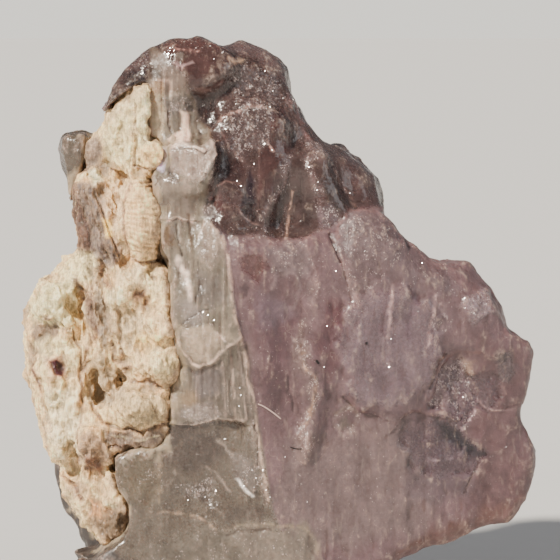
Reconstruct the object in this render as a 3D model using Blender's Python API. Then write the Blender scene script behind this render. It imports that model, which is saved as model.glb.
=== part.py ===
"""A rose quartz specimen: one quartz mass with a feldspar crust grown on its left side.

The quartz is a set of broken blocks grown together: a rose slab in front on the right, a smoky block
behind and above it, a row of grey columns left of the slab, and a smoky window under the columns.
Sizes are in millimetres until a mesh is made. X is right, Y is away from the front, Z is up.
"""
from collections import namedtuple

import bmesh
import bpy
import numpy as np
from mathutils import Matrix, Vector, noise

MM = 0.001

# Gap between the quartz and the crust.
SEAM = 0.3

# The grid that joins the blocks of each piece, and about how many triangles are kept before the
# piece is cut to its bed.
QUARTZ_GRID = 0.45
QUARTZ_FACES = 6200
CRUST_GRID = 0.40
CRUST_FACES = 3400

# Depths in front of and behind the whole specimen.
IN_FRONT = -40.0
BEHIND = 40.0

# A pass of flat chips broken off the quartz: how many there are, the ranges of their radius and
# depth, and the depth behind which they lie.
Chips = namedtuple("Chips", "seed count radius depth behind")

CHIP_PASSES = [
    Chips(seed=11, count=60, radius=(3.0, 6.0), depth=(0.15, 0.60), behind=1.0),
    Chips(seed=12, count=90, radius=(1.6, 3.6), depth=(0.02, 0.16), behind=IN_FRONT),
    Chips(seed=13, count=260, radius=(0.8, 1.8), depth=(0.02, 0.12), behind=IN_FRONT),
]

# Share of a chip's radius over which its hollow fades into the surface around it, how much its
# plane leans away from the surface, and how far it may lower the surface, in largest chip depths.
CHIP_FADE = 0.35
CHIP_LEAN = 0.14
CHIP_LIMIT = 2.0

# Soft noise of a rough surface: how fast its octaves weaken, how much finer each one is, and how
# many there are.
NOISE_FALL = 0.9
NOISE_STEP = 2.0
NOISE_OCTAVES = 3

# A plane is its depth at (x, z) = (0, 25), then how fast the depth grows along x and along z.
Plane = namedtuple("Plane", "depth per_x per_z")
DEPTH_REFERENCE_Z = 25.0

# A block is its widest outline (x, z), its front and back planes, the width of the bevel around
# its front face, and the size of its back outline as a share of the widest one.
Block = namedtuple("Block", "outline front back bevel back_share")

# How far back a bevel reaches, as a multiple of its width.
BEVEL_DEPTH = 1.3

# A lump is the middle of a rounded mass, its three half sizes and its lean to the right in radians.
Lump = namedtuple("Lump", "middle half lean")

QUARTZ_BLOCKS = {
    "rose_slab": Block(
        outline=[
            (-5.1, 35.1), (-4.7, 33.0), (-4.1, 29.5), (-3.4, 26.0), (-2.7, 22.0), (-2.0, 18.0),
            (-1.4, 14.0), (-0.6, 9.0), (0.8, 4.0), (3.0, -1.0), (5.0, -1.0), (7.4, 2.5), (9.8, 5.6),
            (11.6, 6.4), (13.6, 7.0), (15.2, 7.5), (16.6, 8.2), (18.2, 8.5), (20.4, 8.7),
            (21.4, 10.0), (22.1, 11.4), (22.3, 12.7), (23.0, 14.0), (22.6, 15.6), (22.0, 16.9),
            (21.4, 17.7), (21.4, 19.2), (22.0, 20.8), (22.4, 22.4), (22.5, 24.3), (22.1, 25.2),
            (21.2, 25.7), (20.2, 25.7), (19.5, 26.6), (19.2, 28.2), (18.2, 29.7), (16.9, 31.0),
            (15.5, 32.1), (14.1, 32.1), (13.1, 32.5), (12.1, 33.6), (11.2, 34.0), (10.3, 35.3),
            (9.3, 36.4), (7.6, 37.0), (6.0, 36.5), (5.1, 35.6), (4.8, 34.2), (4.1, 35.2),
            (2.6, 35.4), (0.3, 34.7),
        ],
        front=Plane(-10.9, 0.24, 0.03), back=Plane(-1.5, 0.10, 0.0), bevel=0.8, back_share=0.93),
    "slab_shelf": Block(
        outline=[
            (-4.7, 34.8), (-3.9, 29.5), (-3.2, 26.0), (-2.6, 22.4), (0.6, 21.0), (3.6, 19.2),
            (5.6, 20.6), (6.8, 19.2), (9.0, 18.6), (11.0, 18.8), (12.6, 19.6), (13.2, 21.6),
            (14.0, 24.0), (17.0, 24.4), (19.6, 23.4), (20.4, 24.8), (19.0, 26.2), (18.4, 28.2),
            (16.4, 30.2), (14.0, 31.0), (11.6, 33.0), (9.6, 35.4), (7.6, 36.4), (6.0, 35.9),
            (5.2, 34.8), (4.8, 33.4), (4.0, 34.6), (2.6, 34.9), (0.3, 34.3),
        ],
        front=Plane(-11.8, 0.24, 0.03), back=Plane(-6.0, 0.10, 0.0), bevel=0.9, back_share=1.0),
    "slab_rib": Block(
        outline=[
            (1.6, 27.0), (2.0, 22.0), (2.0, 18.4), (1.8, 14.4), (2.6, 15.8), (3.4, 18.6), (3.9, 22.6),
            (3.4, 26.6), (2.6, 29.0),
        ],
        front=Plane(-12.0, 0.24, 0.03), back=Plane(-6.0, 0.10, 0.0), bevel=0.5, back_share=1.0),
    "slab_knob": Block(
        outline=[
            (5.2, 34.0), (5.8, 30.4), (6.6, 26.6), (9.0, 25.4), (11.4, 27.0), (12.2, 30.4),
            (10.8, 33.4), (9.4, 35.4), (7.6, 36.3), (6.0, 35.8),
        ],
        front=Plane(-12.2, 0.24, 0.05), back=Plane(-6.0, 0.10, 0.0), bevel=1.3, back_share=1.0),
    "lower_lobe": Block(
        outline=[
            (14.6, 15.6), (15.8, 12.6), (15.0, 9.8), (17.6, 9.2), (20.4, 10.2), (21.6, 12.4),
            (22.0, 14.4), (21.2, 16.6), (19.0, 17.8), (16.6, 17.2),
        ],
        front=Plane(-11.7, 0.26, -0.02), back=Plane(-5.0, 0.10, 0.0), bevel=1.3, back_share=1.0),
    "smoky_block": Block(
        outline=[
            (-15.2, 34.0), (-14.5, 30.0), (8.0, 30.0), (9.2, 36.8), (8.7, 38.0), (8.4, 39.0),
            (7.5, 40.1), (6.0, 41.5), (4.7, 42.5), (3.5, 43.0), (3.0, 43.6), (2.5, 44.6),
            (1.9, 45.7), (1.0, 47.0), (0.6, 48.2), (-0.1, 49.4), (-0.8, 50.3), (-2.6, 50.6),
            (-5.2, 51.1), (-6.8, 51.6), (-9.2, 51.8), (-10.1, 51.4), (-11.8, 51.1), (-12.7, 50.3),
            (-13.3, 49.5), (-14.6, 48.0), (-15.3, 46.4), (-15.7, 44.4),
        ],
        front=Plane(-11.0, 0.21, 0.21), back=Plane(9.0, -0.10, -0.24), bevel=1.2, back_share=0.80),
    "lilac_lump": Block(
        outline=[
            (-5.3, 48.0), (-4.8, 45.6), (-2.2, 44.4), (0.4, 45.0), (1.0, 46.8), (0.7, 48.2),
            (0.0, 49.5), (-0.8, 50.5), (-2.6, 51.4), (-3.6, 51.8), (-4.6, 51.5),
        ],
        front=Plane(-11.0, 0.25, 0.22), back=Plane(2.0, 0.0, 0.0), bevel=1.6, back_share=0.75),
    "dome": Block(
        outline=[
            (-10.6, 49.6), (-8.8, 47.4), (-6.4, 46.8), (-4.6, 47.8), (-3.6, 49.4), (-4.9, 51.0),
            (-6.8, 51.6), (-9.2, 51.8), (-10.4, 51.2),
        ],
        front=Plane(-17.8, 0.10, 0.40), back=Plane(-1.0, 0.0, 0.0), bevel=0.8, back_share=0.95),
    "sparkle_facet": Block(
        outline=[
            (-6.2, 44.8), (-5.9, 40.6), (-4.6, 38.6), (-1.6, 39.6), (0.4, 42.2), (0.6, 44.8),
            (-1.6, 46.6), (-4.6, 46.4),
        ],
        front=Plane(-12.0, 0.14, 0.18), back=Plane(-2.0, 0.0, 0.0), bevel=0.4, back_share=0.98),
    "fan_left": Block(
        outline=[(-5.6, 40.0), (-5.2, 34.0), (-1.4, 34.0), (-0.4, 37.4), (0.9, 41.4), (-1.8, 40.6)],
        front=Plane(-11.4, 0.22, 0.12), back=Plane(-2.0, 0.0, 0.0), bevel=0.4, back_share=0.98),
    "fan_middle": Block(
        outline=[(-1.6, 34.0), (3.6, 34.0), (2.8, 37.8), (2.2, 41.6), (1.0, 41.8)],
        front=Plane(-9.6, -0.18, 0.08), back=Plane(-2.0, 0.0, 0.0), bevel=0.3, back_share=0.98),
    "fan_right": Block(
        outline=[(3.2, 34.0), (6.9, 34.0), (5.6, 38.0), (3.8, 42.0), (2.4, 42.4), (2.9, 38.0)],
        front=Plane(-11.6, 0.30, 0.12), back=Plane(-2.0, 0.0, 0.0), bevel=0.4, back_share=0.98),
    "right_knob": Block(
        outline=[
            (3.4, 42.7), (4.4, 38.5), (5.4, 34.0), (9.4, 34.0), (9.3, 36.8), (8.8, 38.1),
            (8.4, 39.2), (7.5, 40.2), (6.0, 41.6), (4.8, 42.6),
        ],
        front=Plane(-9.6, 0.30, 0.16), back=Plane(4.0, 0.0, 0.0), bevel=0.9, back_share=0.80),
    "top_panel": Block(
        outline=[
            (-11.7, 47.0), (-11.5, 41.0), (-7.6, 41.0), (-7.9, 45.6), (-8.6, 48.2), (-9.6, 49.6),
            (-10.8, 49.4),
        ],
        front=Plane(-10.2, 0.0, 0.06), back=Plane(-3.0, 0.0, 0.0), bevel=0.4, back_share=0.98),
    "sugar_block": Block(
        outline=[
            (-10.3, 42.4), (-10.4, 40.4), (-11.8, 39.2), (-11.0, 37.6), (-8.6, 38.2), (-6.7, 38.0),
            (-5.8, 39.6), (-5.4, 41.6), (-5.9, 43.1), (-7.4, 42.5), (-8.7, 43.0),
        ],
        front=Plane(-14.1, -0.22, 0.06), back=Plane(-4.0, 0.0, 0.0), bevel=0.5, back_share=0.98),
    "window_column": Block(
        outline=[
            (-11.6, 39.6), (-10.8, 36.0), (-10.4, 31.5), (-6.0, 31.5), (-5.8, 35.0), (-6.3, 38.6),
            (-8.6, 39.4),
        ],
        front=Plane(-12.6, -0.22, 0.06), back=Plane(-4.0, 0.0, 0.0), bevel=0.3, back_share=0.98),
    "middle_column": Block(
        outline=[
            (-9.7, 31.9), (-10.0, 28.4), (-9.2, 25.4), (-8.1, 23.6), (-6.8, 23.0), (-5.2, 23.8),
            (-3.4, 25.8), (-3.7, 28.0), (-4.3, 31.0), (-4.9, 34.0), (-5.7, 36.0), (-6.7, 36.4),
            (-7.9, 35.0), (-8.4, 33.0),
        ],
        front=Plane(-14.0, -0.32, 0.02), back=Plane(-4.0, 0.0, 0.0), bevel=0.5, back_share=0.98),
    "column_flank": Block(
        outline=[
            (-9.9, 30.6), (-10.0, 28.4), (-9.2, 25.6), (-8.1, 24.0), (-6.9, 23.6), (-6.2, 25.4),
            (-6.6, 29.0), (-8.4, 31.2),
        ],
        front=Plane(-14.2, -0.26, 0.0), back=Plane(-4.0, 0.0, 0.0), bevel=0.4, back_share=0.98),
    "striated_column": Block(
        outline=[
            (-8.8, 24.5), (-9.5, 21.5), (-10.0, 18.5), (-8.4, 18.2), (-7.2, 18.1), (-5.4, 18.7),
            (-4.4, 18.8), (-2.3, 18.0), (-2.5, 21.0), (-3.1, 24.5),
        ],
        front=Plane(-12.7, -0.26, 0.0), back=Plane(-5.0, 0.0, 0.0), bevel=0.5, back_share=0.98),
    "ridge_foot": Block(
        outline=[
            (-2.8, 19.0), (-3.4, 16.8), (-4.3, 15.2), (-3.9, 13.4), (-2.6, 12.2), (-0.9, 11.6),
            (-0.8, 13.6), (-1.6, 19.0),
        ],
        front=Plane(-11.9, -0.20, 0.0), back=Plane(-5.0, 0.0, 0.0), bevel=0.5, back_share=0.95),
    "smoky_window": Block(
        outline=[
            (-16.6, 17.0), (-17.6, 12.5), (-17.2, 8.0), (-16.2, 4.0), (-15.2, -1.0), (3.5, -1.0),
            (2.0, 5.0), (0.5, 9.0), (-0.4, 13.0), (-1.4, 18.4), (-10.0, 18.6),
        ],
        front=Plane(-9.9, -0.05, 0.05), back=Plane(2.0, 0.0, 0.0), bevel=0.8, back_share=0.95),
    "left_plate": Block(
        outline=[
            (-19.5, 42.9), (-19.3, 41.0), (-18.8, 38.5), (-18.1, 35.5), (-17.5, 32.8), (-17.4, 29.0),
            (-12.5, 29.0), (-12.5, 43.0), (-16.0, 43.2), (-17.6, 43.3), (-19.2, 43.4),
        ],
        front=Plane(-5.2, 0.04, 0.0), back=Plane(2.6, 0.0, 0.0), bevel=0.3, back_share=0.97),
    "left_foot": Block(
        outline=[
            (-21.4, 16.0), (-21.5, 13.0), (-21.0, 10.2), (-19.9, 7.6), (-17.6, 4.4), (-15.0, -1.0),
            (-8.0, -1.0), (-8.0, 20.0), (-20.6, 20.0),
        ],
        front=Plane(-4.5, 0.0, 0.05), back=Plane(7.0, 0.0, 0.0), bevel=1.2, back_share=0.85),
    "core": Block(
        outline=[
            (-15.4, -1.0), (-17.4, 4.0), (-19.6, 8.0), (-20.6, 13.0), (-21.0, 20.0), (-20.2, 26.0),
            (-17.6, 31.0), (-16.2, 36.0), (-14.4, 41.0), (3.0, 41.0), (8.8, 36.0), (12.0, 32.6),
            (17.2, 29.4), (19.0, 26.0), (21.6, 23.6), (21.0, 19.0), (22.0, 14.0), (20.0, 9.6),
            (14.0, 7.4), (9.6, 5.8), (4.8, -1.0),
        ],
        front=Plane(-6.5, 0.10, 0.0), back=Plane(6.5, -0.12, 0.0), bevel=1.0, back_share=0.80),
    "back_left": Block(
        outline=[
            (-17.5, 8.0), (-15.0, 2.0), (-3.0, 1.0), (-0.5, 12.0), (-3.0, 26.0), (-6.0, 38.0),
            (-13.0, 40.5), (-17.2, 31.0), (-19.4, 19.0),
        ],
        front=Plane(0.0, 0.0, 0.0), back=Plane(12.6, -0.02, -0.10), bevel=0.5, back_share=0.62),
    "back_right": Block(
        outline=[
            (-3.5, 3.0), (6.0, 2.6), (13.5, 8.4), (18.0, 14.0), (16.5, 24.5), (8.5, 31.5),
            (-2.0, 34.0), (-5.5, 20.0),
        ],
        front=Plane(0.0, 0.0, 0.0), back=Plane(9.6, -0.16, 0.05), bevel=0.5, back_share=0.66),
    "back_crown": Block(
        outline=[
            (-13.0, 34.0), (-3.0, 31.0), (5.0, 35.5), (1.8, 43.0), (-1.6, 48.4), (-8.0, 50.0),
            (-12.6, 46.5),
        ],
        front=Plane(0.0, 0.0, 0.0), back=Plane(11.0, -0.15, -0.12), bevel=0.5, back_share=0.66),
}

CRUST_BLOCKS = {
    "upper_wedge": Block(
        outline=[
            (-11.6, 47.4), (-13.2, 46.6), (-14.3, 45.4), (-15.4, 44.5), (-16.1, 43.2), (-16.9, 41.6),
            (-16.4, 40.3), (-14.4, 40.2), (-12.6, 39.6), (-11.3, 40.1), (-10.2, 41.0),
            (-10.0, 42.4), (-11.2, 43.2), (-11.3, 45.4),
        ],
        front=Plane(-18.0, -0.64, 0.0), back=Plane(2.0, 0.0, 0.0), bevel=0.9, back_share=0.97),
    "leaning_blades": Block(
        outline=[
            (-17.9, 39.6), (-17.7, 36.0), (-16.8, 32.4), (-15.6, 27.0), (-13.8, 27.0), (-13.4, 33.0),
            (-13.8, 37.4), (-15.0, 41.0), (-16.6, 41.0),
        ],
        front=Plane(-18.8, -0.74, 0.0), back=Plane(3.0, 0.0, 0.0), bevel=0.7, back_share=0.97),
    "central_mass": Block(
        outline=[
            (-15.2, 31.0), (-15.4, 27.0), (-14.8, 23.6), (-12.6, 21.4), (-10.0, 21.6), (-8.5, 22.8),
            (-8.9, 25.6), (-9.4, 28.6), (-9.6, 31.8), (-12.0, 33.0), (-14.2, 33.0),
        ],
        front=Plane(-13.6, -0.27, 0.03), back=Plane(0.0, 0.0, 0.0), bevel=1.1, back_share=0.97),
    "green_ledge": Block(
        outline=[
            (-17.6, 19.4), (-17.8, 16.4), (-16.0, 14.4), (-13.0, 16.0), (-10.5, 16.2),
            (-9.7, 18.4), (-12.0, 19.6),
        ],
        front=Plane(-13.6, -0.34, 0.0), back=Plane(0.0, 0.0, 0.0), bevel=0.6, back_share=0.97),
    "lobe_upper": Block(
        outline=[
            (-17.0, 33.2), (-18.6, 32.6), (-20.0, 31.2), (-21.4, 30.1), (-22.3, 28.2), (-22.7, 26.2),
            (-22.7, 24.4), (-19.6, 23.6), (-17.2, 25.0), (-17.9, 28.8), (-16.8, 31.6),
        ],
        front=Plane(-16.4, -0.52, 0.06), back=Plane(5.5, 0.0, 0.0), bevel=1.6, back_share=0.84),
    "lobe_lower": Block(
        outline=[
            (-22.9, 25.0), (-22.9, 23.0), (-22.5, 21.4), (-22.3, 19.4), (-21.9, 17.8), (-21.2, 16.2),
            (-20.9, 14.2), (-19.4, 13.8), (-17.6, 14.8), (-16.6, 17.4), (-16.4, 25.0), (-19.0, 26.4),
        ],
        front=Plane(-16.9, -0.56, 0.0), back=Plane(5.0, 0.0, 0.0), bevel=1.4, back_share=0.86),
    "strands": Block(
        outline=[
            (-19.8, 13.2), (-18.9, 10.2), (-17.2, 8.0), (-15.2, 7.2), (-13.6, 8.6), (-13.2, 10.6),
            (-14.4, 12.8), (-15.4, 15.2), (-17.4, 14.6),
        ],
        front=Plane(-20.6, -0.80, 0.0), back=Plane(3.0, 0.0, 0.0), bevel=0.9, back_share=0.97),
    "backing": Block(
        outline=[
            (-12.0, 45.0), (-17.8, 41.0), (-17.6, 33.0), (-20.4, 30.0), (-21.4, 26.0), (-20.8, 20.0),
            (-19.4, 15.0), (-17.6, 10.0), (-14.4, 9.0), (-14.8, 15.0), (-10.4, 17.0), (-10.6, 21.6),
            (-9.4, 24.0), (-10.4, 31.0), (-11.0, 36.0), (-11.6, 41.0),
        ],
        front=Plane(-19.4, -0.90, 0.0), back=Plane(-14.0, -0.90, 0.0), bevel=0.4, back_share=1.0),
}

CRUST_LUMPS = {
    "barrel": Lump((-12.3, -9.0, 35.9), (1.8, 3.0, 3.9), -0.08),
    "blade_left": Lump((-17.2, -6.7, 34.8), (0.65, 2.2, 5.6), -0.20),
    "blade_middle": Lump((-15.9, -7.4, 34.4), (0.65, 2.5, 6.4), -0.20),
    "blade_right": Lump((-14.6, -8.2, 33.4), (0.6, 2.4, 5.0), -0.16),
    "white_knob": Lump((-16.1, -7.6, 39.2), (1.0, 1.8, 0.9), 0.0),
    "spine": Lump((-15.9, -6.6, 26.3), (0.9, 3.2, 6.4), -0.16),
    "upper_boss": Lump((-13.2, -8.4, 29.8), (2.2, 3.0, 2.0), 0.3),
    "right_boss": Lump((-10.4, -8.9, 27.0), (1.5, 2.9, 1.9), 0.0),
    "lower_boss": Lump((-10.6, -8.6, 23.6), (2.0, 3.4, 1.6), 0.4),
    "foot_lump": Lump((-12.3, -8.2, 19.9), (2.7, 3.4, 1.7), 0.0),
    "amber_grain": Lump((-16.6, -6.6, 16.4), (1.6, 2.9, 2.3), -0.2),
    "lobe_boss": Lump((-19.9, -4.1, 28.4), (2.3, 2.9, 2.6), 0.2),
    "lobe_cheek": Lump((-20.3, -3.7, 21.6), (1.9, 3.0, 3.4), 0.0),
    "lobe_chin": Lump((-19.5, -4.2, 16.9), (1.7, 2.8, 2.6), -0.15),
}

# Seen from the front, the edge of the bed in the quartz that the crust fills.
BED_OUTLINE = [
    (-11.5, 47.7), (-11.5, 43.0), (-10.2, 42.5), (-10.3, 41.0), (-11.5, 39.8), (-10.7, 37.0),
    (-10.4, 33.3), (-9.7, 32.0), (-9.7, 28.6), (-9.0, 25.2), (-8.7, 22.8), (-10.1, 21.4),
    (-9.8, 18.4), (-10.4, 16.3), (-13.2, 16.0), (-15.0, 15.4), (-14.4, 12.6), (-13.2, 10.6),
    (-13.8, 8.4), (-17.0, 6.2), (-26.0, 6.2), (-26.0, 31.5), (-18.0, 33.6), (-18.2, 38.2),
    (-17.2, 40.8), (-16.9, 43.2), (-15.6, 44.8), (-14.4, 46.0), (-13.2, 47.0),
]
BED_FLOOR = Plane(-17.0, -0.90, 0.0)


def plane_depth(plane, x, z):
    """Depth in millimetres of a plane at a place of the front view."""
    return plane.depth + plane.per_x * x + plane.per_z * (z - DEPTH_REFERENCE_Z)


def middle_of(outline):
    """Middle of an outline's extent along x and z."""
    points = np.array(outline)
    return (points.min(axis=0) + points.max(axis=0)) / 2.0


def drawn_in(outline, share):
    """Outline scaled about its middle to a share of its size."""
    centre = middle_of(outline)
    return [tuple(centre + (np.array(point) - centre) * share) for point in outline]


def flat_ring(outline, plane):
    """Points in metres of an outline laid on a plane."""
    return [Vector((x, plane_depth(plane, x, z), z)) * MM for x, z in outline]


def add_rings(bm, rings):
    """Add a closed body whose skin runs through rings of points, first ring in front."""
    loops = [[bm.verts.new(point) for point in points] for points in rings]
    faces = [bm.faces.new(loops[0]), bm.faces.new(loops[-1])]
    count = len(loops[0])
    for near, far in zip(loops, loops[1:]):
        for index in range(count):
            after = (index + 1) % count
            faces.append(bm.faces.new((near[index], near[after], far[after], far[index])))
    bmesh.ops.recalc_face_normals(bm, faces=faces)


def add_block(bm, block):
    """Add one broken block: a bevelled front face, its widest outline, and a smaller back."""
    reach = np.ptp(np.array(block.outline), axis=0).mean() / 2.0
    behind_front = block.front._replace(depth=block.front.depth + block.bevel * BEVEL_DEPTH)
    add_rings(bm, [
        flat_ring(drawn_in(block.outline, 1.0 - block.bevel / reach), block.front),
        flat_ring(block.outline, behind_front),
        flat_ring(drawn_in(block.outline, block.back_share), block.back),
    ])


def add_lump(bm, lump):
    """Add one rounded mass that leans in the front view."""
    place = Matrix.Translation(Vector(lump.middle) * MM)
    lean = Matrix.Rotation(lump.lean, 4, "Y")
    size = Matrix.Diagonal((*(Vector(lump.half) * MM), 1.0))
    bmesh.ops.create_icosphere(bm, subdivisions=3, radius=1.0, matrix=place @ lean @ size)


def apply_modifiers(obj):
    """Replace an object's mesh by what its modifiers make of it, and clear them."""
    graph = bpy.context.evaluated_depsgraph_get()
    graph.update()
    mesh = bpy.data.meshes.new_from_object(obj.evaluated_get(graph))
    mesh.name = obj.name
    obj.modifiers.clear()
    obj.data = mesh


def grown_together(name, blocks, lumps, grid):
    """Object whose mesh is the joined outer skin of all the blocks and lumps."""
    bm = bmesh.new()
    for block in blocks.values():
        add_block(bm, block)
    for lump in lumps.values():
        add_lump(bm, lump)
    bmesh.ops.triangulate(bm, faces=bm.faces)
    mesh = bpy.data.meshes.new(name)
    bm.to_mesh(mesh)
    bm.free()
    obj = bpy.data.objects.new(name, mesh)
    bpy.context.scene.collection.objects.link(obj)
    skin = obj.modifiers.new("joined skin", "REMESH")
    skin.mode = "VOXEL"
    skin.voxel_size = grid * MM
    apply_modifiers(obj)
    return obj


def places_and_normals(mesh):
    """A mesh's vertices in millimetres and their normals, as arrays."""
    count = len(mesh.vertices)
    places = np.empty(count * 3, dtype=np.float32)
    mesh.vertices.foreach_get("co", places)
    normals = np.empty(count * 3, dtype=np.float32)
    mesh.vertices.foreach_get("normal", normals)
    return places.reshape(-1, 3).astype(float) / MM, normals.reshape(-1, 3).astype(float)


def set_places(mesh, places):
    """Write vertices given in millimetres back to a mesh."""
    mesh.vertices.foreach_set("co", (places * MM).astype(np.float32).ravel())
    mesh.update()


def chip(mesh, chips):
    """Break a pass of chips off a surface: each flattens what stands above its plane."""
    places, normals = places_and_normals(mesh)
    rng = np.random.default_rng(chips.seed)
    candidates = np.flatnonzero(places[:, 1] > chips.behind)
    limit = chips.depth[1] * CHIP_LIMIT
    for centre_index in rng.choice(candidates, chips.count):
        centre = places[centre_index]
        size = rng.uniform(*chips.radius)
        near = np.linalg.norm(places - centre, axis=1) < size
        tilt = normals[near].mean(axis=0) + rng.normal(0.0, CHIP_LEAN, 3)
        tilt /= np.linalg.norm(tilt)
        level = centre @ tilt - rng.uniform(*chips.depth)
        above = places[near] @ tilt - level
        away = np.linalg.norm(places[near] - centre, axis=1) / size
        fade = np.clip((1.0 - away) / CHIP_FADE, 0.0, 1.0)
        lowered = np.clip(above, 0.0, limit) * fade
        places[near] -= lowered[:, None] * tilt
    set_places(mesh, places)


def roughen(mesh, size, height, stretch):
    """Raise and lower a surface along its normals by soft noise, stretched along Z."""
    places, normals = places_and_normals(mesh)
    scale = Vector((1.0 / size, 1.0 / size, 1.0 / (size * stretch)))
    waves = [
        noise.fractal(Vector(place) * scale, NOISE_FALL, NOISE_STEP, NOISE_OCTAVES)
        for place in places
    ]
    set_places(mesh, places + normals * (np.array(waves) * height)[:, None])


def thin_faces(obj, faces):
    """Merge the faces of flat stretches until the object has about so many triangles."""
    triangles = sum(len(face.vertices) - 2 for face in obj.data.polygons)
    merge = obj.modifiers.new("fewer faces", "DECIMATE")
    merge.decimate_type = "COLLAPSE"
    merge.ratio = faces / triangles
    merge.use_collapse_triangulate = True
    apply_modifiers(obj)


def cutter(name, rings):
    """Closed guide solid through rings of points, which stays out of the finished part."""
    bm = bmesh.new()
    add_rings(bm, rings)
    bmesh.ops.triangulate(bm, faces=bm.faces)
    mesh = bpy.data.meshes.new(name)
    bm.to_mesh(mesh)
    bm.free()
    obj = bpy.data.objects.new(name, mesh)
    bpy.context.scene.collection.objects.link(obj)
    obj.hide_render = True
    obj.display_type = "WIRE"
    return obj


def outward(start, end):
    """Unit normal in the front view of an outline's edge, for an outline listed clockwise."""
    along = np.array(end) - np.array(start)
    return np.array((-along[1], along[0])) / np.linalg.norm(along)


def grown_outline(outline, margin):
    """Outline whose edges all lie a margin outside those of a clockwise outline."""
    grown = []
    for index, point in enumerate(outline):
        before = outward(outline[index - 1], point)
        after = outward(point, outline[(index + 1) % len(outline)])
        grown.append(tuple(np.array(point) + (before + after) * margin / (1.0 + before @ after)))
    return grown


def bed_cutter(name, margin):
    """Solid of the bed, from its sloping floor forwards, larger than the bed by a margin."""
    outline = grown_outline(BED_OUTLINE, margin)
    front = Plane(IN_FRONT, 0.0, 0.0)
    slope = (1.0 + BED_FLOOR.per_x ** 2 + BED_FLOOR.per_z ** 2) ** 0.5
    floor = BED_FLOOR._replace(depth=BED_FLOOR.depth + margin * slope)
    return cutter(name, [flat_ring(outline, front), flat_ring(outline, floor)])


def ground_cutter():
    """Solid below the flat face that the specimen rests on."""
    reach = 40.0
    outline = [(-reach, 0.0), (-reach, -reach), (reach, -reach), (reach, 0.0)]
    front = Plane(IN_FRONT, 0.0, 0.0)
    back = Plane(BEHIND, 0.0, 0.0)
    return cutter("ground", [flat_ring(outline, front), flat_ring(outline, back)])


def cut(obj, tool, operation):
    """Cut an object by a guide solid and keep the result as its mesh."""
    step = obj.modifiers.new(tool.name, "BOOLEAN")
    step.operation = operation
    step.solver = "EXACT"
    step.object = tool
    apply_modifiers(obj)


def keep_largest_body(obj):
    """Delete every loose body of a mesh but the one with the most vertices."""
    bm = bmesh.new()
    bm.from_mesh(obj.data)
    unseen = set(bm.verts)
    bodies = []
    while unseen:
        body = {unseen.pop()}
        waiting = list(body)
        while waiting:
            vertex = waiting.pop()
            for edge in vertex.link_edges:
                other = edge.other_vert(vertex)
                if other not in body:
                    body.add(other)
                    waiting.append(other)
        unseen -= body
        bodies.append(body)
    largest = max(bodies, key=len)
    bmesh.ops.delete(bm, geom=[vertex for vertex in bm.verts if vertex not in largest])
    bmesh.ops.triangulate(bm, faces=bm.faces)
    bm.to_mesh(obj.data)
    bm.free()


def material(name, colour, roughness):
    """Plain material of a mineral: linear colour, roughness, no metal."""
    made = bpy.data.materials.new(name)
    made.use_nodes = True
    shader = made.node_tree.nodes["Principled BSDF"]
    shader.inputs["Base Color"].default_value = (*colour, 1.0)
    shader.inputs["Roughness"].default_value = roughness
    shader.inputs["Metallic"].default_value = 0.0
    return made


def make_quartz(bed, ground):
    """The quartz mass: blocks grown together, chipped, cut flat below and hollowed for the crust."""
    obj = grown_together("rose_quartz", QUARTZ_BLOCKS, {}, QUARTZ_GRID)
    roughen(obj.data, size=5.0, height=0.14, stretch=1.6)
    for chips in CHIP_PASSES:
        chip(obj.data, chips)
    thin_faces(obj, QUARTZ_FACES)
    cut(obj, bed, "DIFFERENCE")
    cut(obj, ground, "DIFFERENCE")
    keep_largest_body(obj)
    obj.data.materials.append(material("rose quartz", (0.26, 0.15, 0.15), 0.25))
    return obj


def make_crust(bed):
    """The feldspar crust: lumps and blades joined, roughened, and fitted into its bed."""
    obj = grown_together("feldspar_crust", CRUST_BLOCKS, CRUST_LUMPS, CRUST_GRID)
    roughen(obj.data, size=1.5, height=0.55, stretch=2.2)
    thin_faces(obj, CRUST_FACES)
    cut(obj, bed, "INTERSECT")
    keep_largest_body(obj)
    obj.data.materials.append(material("cream feldspar", (0.75, 0.62, 0.47), 0.7))
    return obj


def stand_on_origin(objects, carrier):
    """Move the carrier so that the middle of the objects' base is at the origin."""
    corners = np.concatenate([places_and_normals(obj.data)[0] for obj in objects])
    low = corners.min(axis=0)
    high = corners.max(axis=0)
    carrier.location = Vector((-(low[0] + high[0]) / 2.0, -(low[1] + high[1]) / 2.0, -low[2])) * MM


def main():
    """Clear the scene and build the specimen."""
    for obj in list(bpy.data.objects):
        bpy.data.objects.remove(obj, do_unlink=True)
    quartz_bed = bed_cutter("quartz_bed", SEAM / 2.0)
    crust_bed = bed_cutter("crust_bed", -SEAM / 2.0)
    ground = ground_cutter()
    pieces = [make_quartz(quartz_bed, ground), make_crust(crust_bed)]
    specimen = bpy.data.objects.new("specimen", None)
    bpy.context.scene.collection.objects.link(specimen)
    for obj in pieces + [quartz_bed, crust_bed, ground]:
        obj.parent = specimen
    stand_on_origin(pieces, specimen)


main()
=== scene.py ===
"""Looks of the rose quartz specimen: the quartz, the feldspar crust, what lies on them, a studio.

X is right, Y is away from the front, Z is up. Objects are made in metres. Arrays of places are in
millimetres. A mark on the front is placed by the pixels of the photograph, which is 560 by 560
pixels, and PhotoCamera says which pixel shows a place of the specimen.
"""
import itertools
import logging
import math
from collections.abc import Sequence
from dataclasses import dataclass
from enum import Enum, IntEnum

import bmesh
import bpy
import numpy as np
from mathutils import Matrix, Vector
from mathutils.bvhtree import BVHTree


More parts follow.
